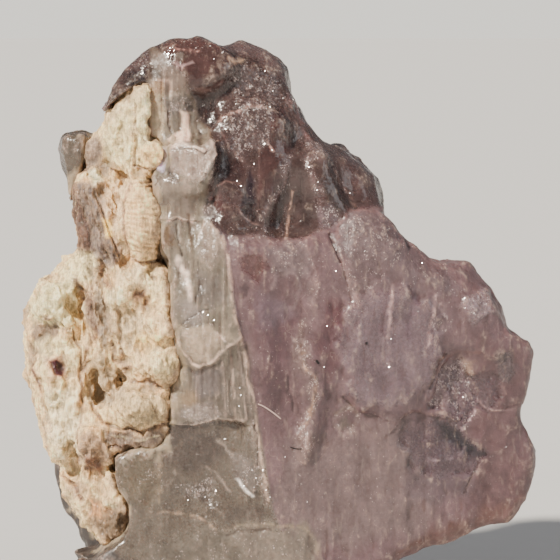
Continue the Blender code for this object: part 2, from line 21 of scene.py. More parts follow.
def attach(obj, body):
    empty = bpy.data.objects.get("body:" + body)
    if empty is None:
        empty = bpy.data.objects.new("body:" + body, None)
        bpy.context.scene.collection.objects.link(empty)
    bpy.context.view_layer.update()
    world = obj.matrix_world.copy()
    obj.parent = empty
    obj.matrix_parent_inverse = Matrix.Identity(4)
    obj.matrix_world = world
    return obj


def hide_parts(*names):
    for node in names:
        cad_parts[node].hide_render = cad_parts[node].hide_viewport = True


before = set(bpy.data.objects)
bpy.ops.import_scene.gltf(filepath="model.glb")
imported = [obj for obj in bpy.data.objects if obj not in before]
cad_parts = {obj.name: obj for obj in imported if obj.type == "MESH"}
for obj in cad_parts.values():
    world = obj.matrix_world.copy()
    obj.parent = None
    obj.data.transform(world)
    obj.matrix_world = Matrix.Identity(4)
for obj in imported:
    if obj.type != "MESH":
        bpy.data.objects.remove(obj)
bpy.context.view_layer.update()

LOG = logging.getLogger("specimen")

Array = np.ndarray

# Photo pixels, each one as right,down, with a space between two of them.
Path = str

Colour = tuple[int, int, int]
Paint = tuple[float, float, float, float]
Size = tuple[float, float, float]

MM = 0.001

# Size of a photo pixel on a plane through the middle of the specimen.
PIXEL_MM = 0.09

# The renderer's film dims bright light by this much, at this power of the light.
FILM_DIMMING = 8.0
FILM_POWER = 3.8

# Brightest display value, as plain linear light, that a surface in the studio is shown with.
BRIGHTEST = 0.70

# Red, green and blue light that a white surface facing the main lamp gives back in the studio.
STUDIO_LIGHT = np.array((2.26, 2.25, 1.98))


def tint(colour: Colour) -> Array:
    """Surface colour that is shown as a display colour in the studio's light.

    Args:
        colour: red, green and blue from 0 to 255.

    Returns:
        Three linear values from 0 to 1.
    """
    share = np.array(colour, dtype=float) / 255.0
    plain = np.where(share <= 0.04045, share / 12.92, ((share + 0.055) / 1.055) ** 2.4)
    shown = plain * min(1.0, BRIGHTEST / plain.max())
    light = shown * (1.0 + FILM_DIMMING * shown ** FILM_POWER)
    return light / STUDIO_LIGHT


def pixels_of(path: Path) -> Array:
    """Photo pixels that a path names, one in each row."""
    return np.array([pixel.split(",") for pixel in path.split()], dtype=float)


def soft_step(share: Array) -> Array:
    """Smooth rise from 0 to 1 as the share goes from 0 to 1."""
    held = np.clip(share, 0.0, 1.0)
    return held * held * (3.0 - 2.0 * held)


@dataclass(frozen=True)
class Ramp:
    """How one value goes from start to end as another one goes from low to high."""

    low: float
    high: float
    start: float = 0.0
    end: float = 1.0

    def at(self, values: Array) -> Array:
        """The one value for each of the other one's."""
        share = soft_step((values - self.low) / (self.high - self.low))
        return self.start + (self.end - self.start) * share


def inside_depth(points: Array, outline: Array) -> Array:
    """How far points of a plane lie inside a closed outline.

    Args:
        points: places on the plane, one in each row.
        outline: corners of the outline, one in each row.

    Returns:
        Distance to the outline, negative outside.
    """
    inside = np.zeros(len(points), dtype=bool)
    nearest = np.full(len(points), np.inf)
    for start, end in zip(outline, np.roll(outline, -1, axis=0)):
        along = end - start
        share = np.clip((points - start) @ along / (along @ along), 0.0, 1.0)
        nearest = np.minimum(nearest, np.hypot(*(points - start - share[:, None] * along).T))
        spans = (start[1] > points[:, 1]) != (end[1] > points[:, 1])
        if along[1] != 0.0:
            crossing = start[0] + (points[:, 1] - start[1]) * along[0] / along[1]
            inside ^= spans & (points[:, 0] < crossing)
    return np.where(inside, nearest, -nearest)


def beside_path(points: Array, path: Array) -> Array:
    """How far points of a plane lie from an open path.

    Args:
        points: places on the plane, one in each row.
        path: corners of the path, one in each row.

    Returns:
        Distance to the path, negative on its right side, seen with the first axis to the right
        and the second one down.
    """
    nearest = np.full(len(points), np.inf)
    side = np.ones(len(points))
    for start, end in zip(path, path[1:]):
        along = end - start
        away = points - start
        share = np.clip(away @ along / (along @ along), 0.0, 1.0)
        distance = np.hypot(*(away - share[:, None] * along).T)
        closer = distance < nearest
        nearest[closer] = distance[closer]
        turn = along[0] * away[closer, 1] - along[1] * away[closer, 0]
        side[closer] = np.where(turn > 0.0, -1.0, 1.0)
    return nearest * side


LAST_32_BITS = 0xFFFFFFFF


def cell_numbers(cells: Array, seed: int) -> Array:
    """Numbers from 0 to 1 that look random, the same ones each time for the same cell.

    Whole numbers are multiplied by large odd ones and folded over themselves, as a hash does.

    Args:
        cells: whole numbers along three axes, one cell in each row.
        seed: which set of numbers.

    Returns:
        One number for each cell.
    """
    x, y, z = cells.astype(np.int64).T
    mixed = (x * 374761393 + y * 668265263 + z * 2246822519 + seed * 3266489917) & LAST_32_BITS
    for shift, factor in ((15, 2654435761), (13, 1274126177)):
        mixed = ((mixed ^ (mixed >> shift)) * factor) & LAST_32_BITS
    return (mixed ^ (mixed >> 16)) / LAST_32_BITS


@dataclass(frozen=True)
class Waves:
    """Soft waves in space.

    Attributes:
        size_mm: their size along X, Y and Z.
        seed: which set of waves.
        octaves: how many sizes of waves are added, each half as large and half as strong.
    """

    size_mm: Size
    seed: int
    octaves: int = 3

    def at(self, places: Array) -> Array:
        """Height of the waves, from -1 to 1, at places in millimetres."""
        total = np.zeros(len(places))
        reach = 0.0
        for octave in range(self.octaves):
            finer = 2.0 ** octave
            total += self.layer(places * finer / np.array(self.size_mm), octave) / finer
            reach += 1.0 / finer
        return total / reach

    def layer(self, scaled: Array, octave: int) -> Array:
        """Height of one size of waves, from -1 to 1, where a wave is one unit long."""
        base = np.floor(scaled)
        share = soft_step(scaled - base)
        height = np.zeros(len(scaled))
        for corner in itertools.product((0, 1), repeat=3):
            weight = np.prod(np.where(corner, share, 1.0 - share), axis=1)
            height += weight * cell_numbers(base + corner, self.seed * 7 + octave)
        return height * 2.0 - 1.0


@dataclass(frozen=True)
class Shells:
    """Hollows in space that meet in crests, each with a lean of its own, as broken glass has.

    Attributes:
        size_mm: size of a hollow along X, Y and Z.
        seed: which set of hollows.
        lean: how much they lean.
        middle: height between the hollows and the crests, which counts as none.
    """

    size_mm: Size
    seed: int
    lean: float = 1.2
    middle: float = 0.3

    def at(self, places: Array) -> Array:
        """Height at places in millimetres, from about -0.4 in a hollow to 0.5 on a crest."""
        scaled = places / np.array(self.size_mm)
        base = np.floor(scaled)
        lowest = np.full(len(places), np.inf)
        for step in itertools.product((-1, 0, 1), repeat=3):
            cell = base + step
            away = scaled - cell - self.three_numbers(cell, 0)
            slope = (self.three_numbers(cell, 3) - 0.5) * self.lean
            lowest = np.minimum(lowest, (away * (away + slope)).sum(axis=1))
        return lowest - self.middle

    def three_numbers(self, cells: Array, first: int) -> Array:
        """Three numbers from 0 to 1 for each cell."""
        return np.stack([cell_numbers(cells, self.seed * 7 + first + i) for i in range(3)], axis=1)


class Surface:
    """An object's vertices as arrays in millimetres, and the moves that shape them.

    Attributes:
        softening: share of the way to its neighbours' level that a vertex moves in one round.
    """

    softening = 0.8

    def __init__(self, obj: bpy.types.Object) -> None:
        """Read the object's mesh."""
        self.obj = obj
        mesh = obj.data
        flat = np.empty(len(mesh.vertices) * 3, dtype=np.float32)
        mesh.vertices.foreach_get("co", flat)
        self.places = flat.reshape(-1, 3).astype(float) / MM
        pairs = np.empty(len(mesh.edges) * 2, dtype=np.int32)
        mesh.edges.foreach_get("vertices", pairs)
        self.edges = pairs.reshape(-1, 2)
        self.normals = self.read_normals()

    def read_normals(self) -> Array:
        """Normals of the vertices as the mesh stands."""
        flat = np.empty(len(self.obj.data.vertices) * 3, dtype=np.float32)
        self.obj.data.vertices.foreach_get("normal", flat)
        return flat.reshape(-1, 3).astype(float)

    def move(self, offsets: Array) -> None:
        """Move the vertices by offsets in millimetres."""
        self.places = self.places + offsets
        flat = (self.places * MM).astype(np.float32).ravel()
        self.obj.data.vertices.foreach_set("co", flat)
        self.obj.data.update()
        self.normals = self.read_normals()

    def swell(self, heights: Array) -> None:
        """Move the vertices along their normals by heights in millimetres."""
        self.move(self.normals * heights[:, None])

    def stand(self) -> None:
        """Lift the vertices that are under the ground onto it."""
        lift = np.zeros(self.places.shape)
        lift[:, 2] = np.maximum(-self.places[:, 2], 0.0)
        self.move(lift)

    def soften(self, rounds: int, crease: float) -> None:
        """Smooth the surface but keep its edges.

        Args:
            rounds: how many times each vertex moves towards its neighbours' level.
            crease: how much normals may differ before an edge is kept.
        """
        near, far = self.edges.T
        count = len(self.places)
        for _ in range(rounds):
            turn = ((self.normals[near] - self.normals[far]) ** 2).sum(axis=1)
            likeness = np.exp(-turn / crease ** 2)
            step = self.places[far] - self.places[near]
            rise = (step * self.normals[near]).sum(axis=1) * likeness
            fall = -(step * self.normals[far]).sum(axis=1) * likeness
            weight = np.bincount(near, likeness, count) + np.bincount(far, likeness, count)
            level = np.bincount(near, rise, count) + np.bincount(far, fall, count)
            self.swell(self.softening * level / np.maximum(weight, 1e-6))

    def averaged(self, values: Array, rounds: int) -> Array:
        """Values of the vertices, averaged with their neighbours' for some rounds."""
        near, far = self.edges.T
        count = len(values)
        links = np.bincount(near, minlength=count) + np.bincount(far, minlength=count)
        for _ in range(rounds):
            total = np.bincount(near, values[far], count) + np.bincount(far, values[near], count)
            values = 0.5 * values + 0.5 * total / np.maximum(links, 1)
        return values

    def bulge(self, rounds: int) -> Array:
        """How far each vertex stands above its neighbours, in millimetres, negative in hollows."""
        smooth = np.stack([self.averaged(axis, rounds) for axis in self.places.T], axis=1)
        return ((self.places - smooth) * self.normals).sum(axis=1)


def apply_modifier(obj: bpy.types.Object, kind: str, **settings: object) -> None:
    """Give an object's mesh the result of one modifier.

    Args:
        obj: the object.
        kind: the modifier's type.
        settings: its settings by name.
    """
    modifier = obj.modifiers.new(kind.lower(), kind)
    for name, value in settings.items():
        setattr(modifier, name, value)
    graph = bpy.context.evaluated_depsgraph_get()
    graph.update()
    old = obj.data
    made = bpy.data.meshes.new_from_object(obj.evaluated_get(graph))
    obj.modifiers.clear()
    obj.data = made
    bpy.data.meshes.remove(old)


def triangle_count(obj: bpy.types.Object) -> int:
    """Number of triangles that an object's faces make."""
    return len(obj.data.loops) - 2 * len(obj.data.polygons)


def copy_of(node: str, name: str) -> bpy.types.Object:
    """New object with a copy of a CAD node's mesh."""
    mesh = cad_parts[node].data.copy()
    mesh.materials.clear()
    obj = bpy.data.objects.new(name, mesh)
    bpy.context.scene.collection.objects.link(obj)
    return obj


def object_from(name: str, bm: bmesh.types.BMesh) -> bpy.types.Object:
    """New object whose mesh is what was built, which is then let go."""
    mesh = bpy.data.meshes.new(name)
    bm.to_mesh(mesh)
    bm.free()
    obj = bpy.data.objects.new(name, mesh)
    bpy.context.scene.collection.objects.link(obj)
    return obj


def shade_smooth(obj: bpy.types.Object, edge_angle: float) -> None:
    """Shade a mesh smooth, but for edges sharper than an angle in degrees."""
    obj.data.shade_smooth()
    obj.data.set_sharp_from_angle(angle=math.radians(edge_angle))


@dataclass(frozen=True)
class PhotoCamera:
    """The camera at the photograph's viewing angle.

    Attributes:
        target_height: height of the point that it looks at, in metres.
        elevation: how far it looks down, in degrees.
        distance: how far it is from that point, in metres.
        lens: focal length in millimetres.
        sensor: width of the sensor in millimetres.
        image: width and height of the photograph in pixels.
        nearest: distance from which on it sees, in metres.
        farthest: distance up to which it sees, in metres.
    """

    target_height: float = 0.0299
    elevation: float = 5.0
    distance: float = 0.252
    lens: float = 180.0
    sensor: float = 36.0
    image: int = 560
    nearest: float = 0.01
    farthest: float = 50.0

    @property
    def toward(self) -> Vector:
        """Direction from the specimen to the camera."""
        tilt = math.radians(self.elevation)
        return Vector((0.0, -math.cos(tilt), math.sin(tilt)))

    @property
    def place(self) -> Vector:
        """Where the camera is, in metres."""
        return Vector((0.0, 0.0, self.target_height)) + self.toward * self.distance

    def pixels(self, places: Array) -> Array:
        """Photo pixels that show places.

        Args:
            places: places in millimetres, one in each row.

        Returns:
            Pixel to the right and pixel down, one pair in each row.
        """
        back = np.array(self.toward)
        up = np.array((0.0, back[2], -back[1]))
        away = places - np.array(self.place) / MM
        focus = self.image * self.lens / self.sensor / (away @ -back)
        middle = self.image / 2.0
        return np.stack([middle + away[:, 0] * focus, middle - (away @ up) * focus], axis=1)

    def ray(self, pixel: Array) -> Vector:
        """Direction from the camera through a photo pixel."""
        right, down = pixel - self.image / 2.0
        focus = self.image * self.lens / self.sensor
        back = self.toward
        up = Vector((0.0, back.z, -back.y))
        return (-back * focus + Vector((1.0, 0.0, 0.0)) * right - up * down).normalized()

    def build(self) -> bpy.types.Object:
        """Make the scene's camera."""
        data = bpy.data.cameras.new("photo_camera")
        data.lens = self.lens
        data.sensor_width = self.sensor
        data.clip_start = self.nearest
        data.clip_end = self.farthest
        obj = bpy.data.objects.new("photo_camera", data)
        obj.location = self.place
        obj.rotation_euler = (-self.toward).to_track_quat("-Z", "Y").to_euler()
        bpy.context.scene.collection.objects.link(obj)
        bpy.context.scene.camera = obj
        return obj


CAMERA = PhotoCamera()


class Shape(Enum):
    """How a mark lies on the front."""

    AREA = "all of a closed outline"
    LINE = "a band along an open path"
    STEP = "the left side of an open path"


class Trait(IntEnum):
    """Column of a trait in the looks, after red, green and blue."""

    CLEAR = 3
    SPARKLE = 4
    ROUGH = 5


@dataclass(frozen=True)
class Mark:
    """One thing seen on the front of the specimen.

    Attributes:
        name: what it is.
        shape: whether its path is an outline, the middle of a band, or the edge of a step.
        path: corners in photo pixels.
        width: an area's fade at its edge, a line's full width, or a step's reach, in millimetres.
        colour: display colour of its middle, or None to leave the colour.
        strength: share of the colour that it takes.
        ragged: how far its edge wanders, in millimetres.
        height: how far it stands up, in millimetres, negative for a hollow.
        clear: see-through share from 0 to 1, or None to leave it.
        sparkle: share of fine bright grains from 0 to 1, or None to leave it; the grains are
        tilted facets, and the quartz finish also paints them as bright specks, painted glints.
        rough: roughness from 0 to 1, or None to leave it.
    """

    name: str
    shape: Shape
    path: Path
    width: float
    colour: Colour | None = None
    strength: float = 1.0
    ragged: float = 0.0
    height: float = 0.0
    clear: float | None = None
    sparkle: float | None = None
    rough: float | None = None

    @property
    def traits(self) -> dict[Trait, float]:
        """Values of the traits that the mark sets."""
        values = {Trait.CLEAR: self.clear, Trait.SPARKLE: self.sparkle, Trait.ROUGH: self.rough}
        return {trait: value for trait, value in values.items() if value is not None}

    def cover(self, pixels: Array, wander: Array) -> Array:
        """Share of each place that the mark covers.

        Args:
            pixels: photo pixels of the places, one pair in each row.
            wander: two numbers from -1 to 1 for each place, which bend a ragged edge.

        Returns:
            Numbers from 0 to 1.
        """
        corners = pixels_of(self.path)
        spread = (self.width + self.ragged) / PIXEL_MM
        low = corners.min(axis=0) - spread
        high = corners.max(axis=0) + spread
        near = np.flatnonzero(((pixels > low) & (pixels < high)).all(axis=1))
        points = pixels[near] + wander[near] * self.ragged / PIXEL_MM
        share = np.zeros(len(pixels))
        if self.shape is Shape.AREA:
            share[near] = soft_step(inside_depth(points, corners) * PIXEL_MM / self.width + 0.5)
        elif self.shape is Shape.LINE:
            away = np.abs(beside_path(points, corners)) * PIXEL_MM
            share[near] = soft_step(1.0 - away / (self.width / 2.0))
        else:
            away = beside_path(points, corners) * PIXEL_MM
            share[near] = np.where(away > 0.0, soft_step(1.0 - away / self.width), 0.0)
        return share


AREA, LINE, STEP = Shape.AREA, Shape.LINE, Shape.STEP

# After its name, its shape and its path, a mark gives its width, its colour, the colour's strength
# and how ragged its edge is.

# Broad parts of the quartz, each with its own colour, clearness, grain and gloss.
QUARTZ_PARTS = (
    Mark("upper_block", AREA, "95,120 120,60 150,30 205,25 262,40 300,80 330,125 385,165 395,212 362,206 "
        "337,222 326,231 303,238 228,236 205,215 214,150 188,90 150,95", 0.5, (108, 84, 78), 1.0, 0.2,
        clear=0.40, sparkle=0.14, rough=0.19),
    Mark("rose_slab", AREA, "226,237 303,238 326,231 337,222 362,206 395,205 560,300 560,520 380,575 "
        "275,575 272,505 262,440 251,384 239,327 229,262", 0.12, (146, 114, 112), clear=0.10, sparkle=0.18,
        rough=0.41),
    Mark("grey_columns", AREA, "149,45 186,60 190,90 214,142 206,215 222,240 239,330 251,384 262,440 "
        "272,505 240,500 232,425 130,430 175,330 165,262 147,215 148,140", 0.4, (162, 149, 124), 1.0, 0.1,
        clear=0.18, sparkle=0.24, rough=0.36),
    Mark("smoky_window", AREA, "40,580 80,470 108,428 168,424 217,420 243,422 262,450 272,505 300,580", 0.3,
        (134, 116, 94), clear=0.40, sparkle=0.16, rough=0.22),
    Mark("left_plate", AREA, "55,120 106,124 112,290 78,270", 0.5, (120, 104, 84), clear=0.30, sparkle=0.05,
        rough=0.2),
    # The foot's dark colour is partly its darker glass and partly painted shade of the recess.
    Mark("left_foot", AREA, "40,455 75,480 105,540 140,580 40,580", 0.6, (72, 62, 55), clear=0.3,
        sparkle=0.1, rough=0.5),
)

# What is seen on the rose slab, from its broad tones to its cracks, ledges and rims.
SLAB_MARKS = (
    Mark("left_dusk", AREA, "238,244 300,246 304,330 296,432 266,436 250,350", 1.6, (128, 94, 93), 0.65,
        0.6),
    Mark("deep_rose_left", AREA, "262,322 288,326 287,385 284,408 264,396 256,350", 1.4, (112, 74, 78),
        0.75, 0.7),
    Mark("deep_rose_middle", AREA, "322,303 350,303 352,325 344,372 330,384 320,350", 1.0, (122, 78, 80),
        0.85, 0.7),
    Mark("rose_pocket", AREA, "329,307 350,306 348,322 334,322", 0.5, (120, 70, 73), 0.8, 0.4,
        height=-0.12),
    Mark("lavender", AREA, "352,300 390,288 432,300 442,350 428,398 382,412 350,398 344,350", 2.0,
        (146, 122, 124), 0.8, 0.8, height=0.35, sparkle=0.05, rough=0.26),
    Mark("lower_middle", AREA, "292,432 340,436 400,420 432,470 420,535 300,552 276,500", 2.2,
        (150, 127, 119), 0.8, 0.8, sparkle=0.2),
    Mark("right_lobes", AREA, "478,325 535,340 545,400 550,470 515,530 470,505 470,430", 1.6, (126, 90, 88),
        0.8, 0.8, sparkle=0.1),
    Mark("upper_right", AREA, "340,228 362,210 392,210 440,262 470,290 400,292 352,298", 1.6,
        (140, 114, 111), 0.7, 0.8, sparkle=0.3),
    Mark("knob_grain", AREA, "338,232 350,216 372,212 398,240 396,262 352,262", 1.2, (138, 114, 110), 0.5,
        1.0, sparkle=0.55, rough=0.55),
    Mark("flaky_patch", AREA, "264,240 306,240 309,262 300,280 270,276", 0.8, (158, 138, 132), 0.6, 0.7,
        sparkle=0.6, rough=0.5),
    Mark("red_window", AREA, "246,258 254,254 262,256 265,266 262,280 256,287 249,282 244,270", 0.8,
        (124, 78, 72), 0.7, 0.5, height=-0.22, clear=0.2, sparkle=0.0, rough=0.18),
    # Painted soft highlight inside the red window.
    Mark("red_window_light", AREA, "256,260 262,262 262,272 257,276", 0.5, (152, 104, 88), 0.5),
    Mark("mauve_blob", AREA, "238,288 244,285 250,290 247,297 240,297", 0.4, (96, 66, 68), 0.7, 0.2,
        height=-0.10),
    Mark("swirl", LINE, "274,300 281,308 292,308 300,298 298,284 288,274 276,278 272,290", 0.5,
        (176, 158, 152), 0.7, 0.4, height=0.06),
    Mark("swirl_outer", LINE, "300,318 310,304 310,284 300,268 284,262", 0.6, (172, 154, 148), 0.6, 0.5,
        height=0.06),
    Mark("left_violet", AREA, "255,296 285,296 288,322 262,326", 1.0, (146, 122, 130), 0.5, 0.6),
    Mark("plum_lens", AREA, "326,376 330,386 333,398 327,402 323,392", 0.3, (94, 62, 64), 0.8, 0.15,
        height=-0.06),
    Mark("right_plum", AREA, "462,370 495,374 500,392 490,410 474,402 464,388", 0.9, (112, 84, 86), 0.85,
        0.5, height=-0.45, clear=0.25, rough=0.24),
    Mark("grey_window", AREA, "496,353 511,352 515,372 508,382 497,378", 0.6, (110, 94, 92), 0.85, 0.2,
        rough=0.2),
    Mark("indigo_lens", AREA, "398,428 420,416 446,420 470,436 488,456 470,468 440,476 408,470", 1.6,
        (100, 78, 82), 0.8, 0.9, height=-0.30, clear=0.15, rough=0.24),
    # Painted shadow inside the lens, tinted indigo.
    Mark("indigo_core", AREA, "436,424 456,430 474,443 489,457 462,456 450,446", 1.1, (46, 36, 46), 0.95,
        0.3, height=-0.12, clear=0.25, rough=0.16),
    Mark("lens_milk", AREA, "412,470 470,468 472,498 430,506 410,500", 1.0, (122, 100, 102), 0.6, 0.8),
    Mark("white_cluster", AREA, "460,292 474,287 488,294 496,308 484,318 464,314", 0.6, (186, 172, 170),
        0.55, 0.9, height=0.12, sparkle=0.85, rough=0.2),
    Mark("mesh_cluster", AREA, "436,362 452,355 470,366 474,395 476,420 452,426 438,400", 1.0,
        (148, 124, 122), 0.6, 1.1, height=-0.25, sparkle=0.9, rough=0.25),
    Mark("cluster_shadow", AREA, "444,376 462,374 466,392 450,396", 0.7, (126, 98, 102), 0.7, 0.5),
    Mark("cluster_foot", AREA, "440,402 474,398 472,428 450,424", 0.6, (106, 80, 86), 0.7, 0.9,
        sparkle=0.6),
    Mark("rust_edge", AREA, "392,560 420,535 462,518 520,500 545,480 545,520 470,560", 1.3, (134, 90, 76),
        0.8, 0.9, sparkle=0.15, rough=0.5),
    Mark("green_foot", AREA, "150,545 200,532 262,526 300,528 318,545 325,580 150,580", 1.0,
        (140, 126, 104), 0.8, 0.8, clear=0.25, sparkle=0.35, rough=0.36),
    Mark("pale_foot", AREA, "238,532 262,528 300,530 318,546 322,580 238,580", 1.4, (162, 148, 128), 0.8,
        0.8, clear=0.15),
    Mark("grain_ridge", LINE, "303,320 301,342 306,360 312,380 312,400 306,425 303,440 301,458", 1.35,
        (184, 164, 148), 0.75, 0.5, height=0.22, sparkle=0.95),
    Mark("grain_band", AREA, "299,326 311,330 318,378 318,420 308,452 297,452 304,402 298,360", 0.9,
        (166, 144, 132), 0.6, 0.6, sparkle=1.0),
    Mark("grain_ridge_core", LINE, "306,356 312,376 313,400 307,424", 0.7, (210, 192, 160), 0.6, 0.4,
        height=0.10, sparkle=1.0),
    Mark("upper_thread", LINE, "306,244 310,262 314,282 312,302 307,322", 0.7, (184, 164, 154), 0.6, 0.4,
        height=0.10, sparkle=0.8),
    Mark("notch", LINE, "330,234 336,248 341,262", 0.45, (70, 48, 48), 0.8, height=-0.35),
    Mark("notch_crack", LINE, "341,262 346,278 350,296 353,308", 0.3, (120, 92, 90), 0.7, height=-0.15),
    Mark("notch_grain", LINE, "346,262 354,282 357,300 352,312", 1.1, (192, 174, 166), 0.75, 0.5,
        height=0.10, sparkle=0.8),
    Mark("flute_1", LINE, "388,292 384,312 382,330", 0.9, (134, 96, 98), 0.5, 0.3, height=-0.10),
    Mark("streak_1", LINE, "394,284 393,300 391,318 387,338", 0.45, (212, 198, 192), 0.85, 0.15,
        height=0.14, sparkle=0.8),
    Mark("streak_1_foot", LINE, "384,338 386,352 390,369", 0.9, (186, 170, 166), 0.7, 0.4, height=0.08,
        sparkle=0.7),
    Mark("streak_2", LINE, "438,296 434,314 431,330 428,346", 0.40, (210, 196, 190), 0.8, 0.2, height=0.12,
        sparkle=0.8),
    Mark("streak_2_grain", LINE, "443,300 444,316 438,330", 1.2, (184, 168, 164), 0.6, 0.5, sparkle=0.8),
    Mark("streak_3", LINE, "404,288 409,296 411,308", 0.8, (180, 164, 160), 0.6, 0.4, sparkle=0.6),
    Mark("streak_4", LINE, "371,286 362,300 356,330 352,342", 1.0, (176, 160, 156), 0.5, 0.6, sparkle=0.6),
    Mark("violet_flute", LINE, "414,288 412,312 408,338", 1.2, (140, 112, 120), 0.5, 0.4, height=-0.12),
    Mark("dark_seam", LINE, "288,376 287,392 291,412", 0.4, (92, 64, 64), 0.7, 0.3, height=-0.10),
    Mark("seam_ridge", LINE, "293,330 292,360 294,392 296,420", 0.45, (150, 124, 118), 0.5, height=0.10),
    Mark("pale_seam", LINE, "262,330 268,350 263,372 257,398", 0.7, (160, 136, 132), 0.5, 0.4, height=0.08,
        sparkle=0.4),
    Mark("brown_crack", LINE, "446,354 438,360 434,374 429,388", 0.35, (76, 44, 34), 0.9, 0.05,
        height=-0.22),
    Mark("brown_halo", LINE, "480,351 458,352 440,357 436,372", 0.55, (150, 108, 92), 0.6, 0.2,
        height=0.10),
    Mark("lower_crack", LINE, "343,397 349,404 355,411", 0.35, (86, 56, 50), 0.85, 0.1, height=-0.12),
    Mark("flake_ring", LINE, "336,416 344,408 356,410 357,422 350,434 338,434 333,424 336,416", 0.9,
        (190, 178, 166), 0.8, 0.4, height=0.08, sparkle=0.8),
    Mark("flake_heart", AREA, "338,420 347,416 350,426 342,431", 0.4, (112, 98, 84), 0.8),
    Mark("ledge", STEP, "395,424 400,418 412,411 426,413 440,419 456,420 474,408 481,400 489,410 505,411 "
        "522,404", 2.2, height=0.08, ragged=0.3),
    Mark("ledge_rim", LINE, "395,424 400,418 412,411 426,413 440,419 456,420", 0.35, (112, 76, 70), 0.6,
        0.1, height=0.06),
    Mark("hollow_rim", LINE, "476,398 484,407 496,411 512,410", 0.35, (190, 168, 164), 0.5, height=0.10),
    Mark("ledge_left", STEP, "355,411 372,414 388,420 395,424", 1.6, height=0.05),
    Mark("lens_curve", LINE, "467,446 458,456 445,461 426,460", 0.20, (180, 164, 164), 0.7, height=0.04),
    Mark("lens_bright", LINE, "475,411 470,421 462,430", 0.35, (224, 212, 210), 0.8, 0.15, height=0.08,
        sparkle=0.8),
    Mark("lower_right_crack", LINE, "479,461 472,476 464,493", 0.35, (86, 58, 52), 0.8, 0.1, height=-0.14),
    Mark("rust_line", LINE, "404,549 430,536 458,522 462,500", 0.5, (128, 80, 62), 0.6, 0.3),
    Mark("olive_arc", LINE, "224,529 250,526 285,525 304,529 314,538 320,556", 0.55, (184, 172, 146), 0.7,
        0.2, height=0.08, sparkle=0.3),
    Mark("foot_seam", LINE, "228,535 250,530 272,531", 0.5, (92, 72, 58), 0.6, 0.2, height=-0.10),
    Mark("yellow_fleck", AREA, "461,360 472,359 473,370 463,370", 0.9, (196, 180, 146), 0.4, 0.5,
        sparkle=1.0),
    Mark("top_rim", LINE, "231,238 252,239 275,240 302,243", 0.8, (166, 140, 132), 0.6, 0.2, height=0.06,
        sparkle=0.6, rough=0.6),
    Mark("top_rim_right", LINE, "306,238 317,230 327,232 334,240", 0.4, (172, 146, 138), 0.6, 0.15,
        height=0.10),
    Mark("knob_rim", LINE, "336,236 338,224 349,214 360,209 384,210 400,230 412,246", 0.6, (178, 148, 140),
        0.6, 0.3, height=0.06),
    # Painted pinkish highlight along the right rim.
    Mark("right_rim", LINE, "412,246 428,262 446,262 470,284 497,310 504,330 528,340 535,362 528,388 "
        "524,418 536,446 537,480 526,502 500,520", 1.0, (164, 132, 125), 0.5, 0.5),
)

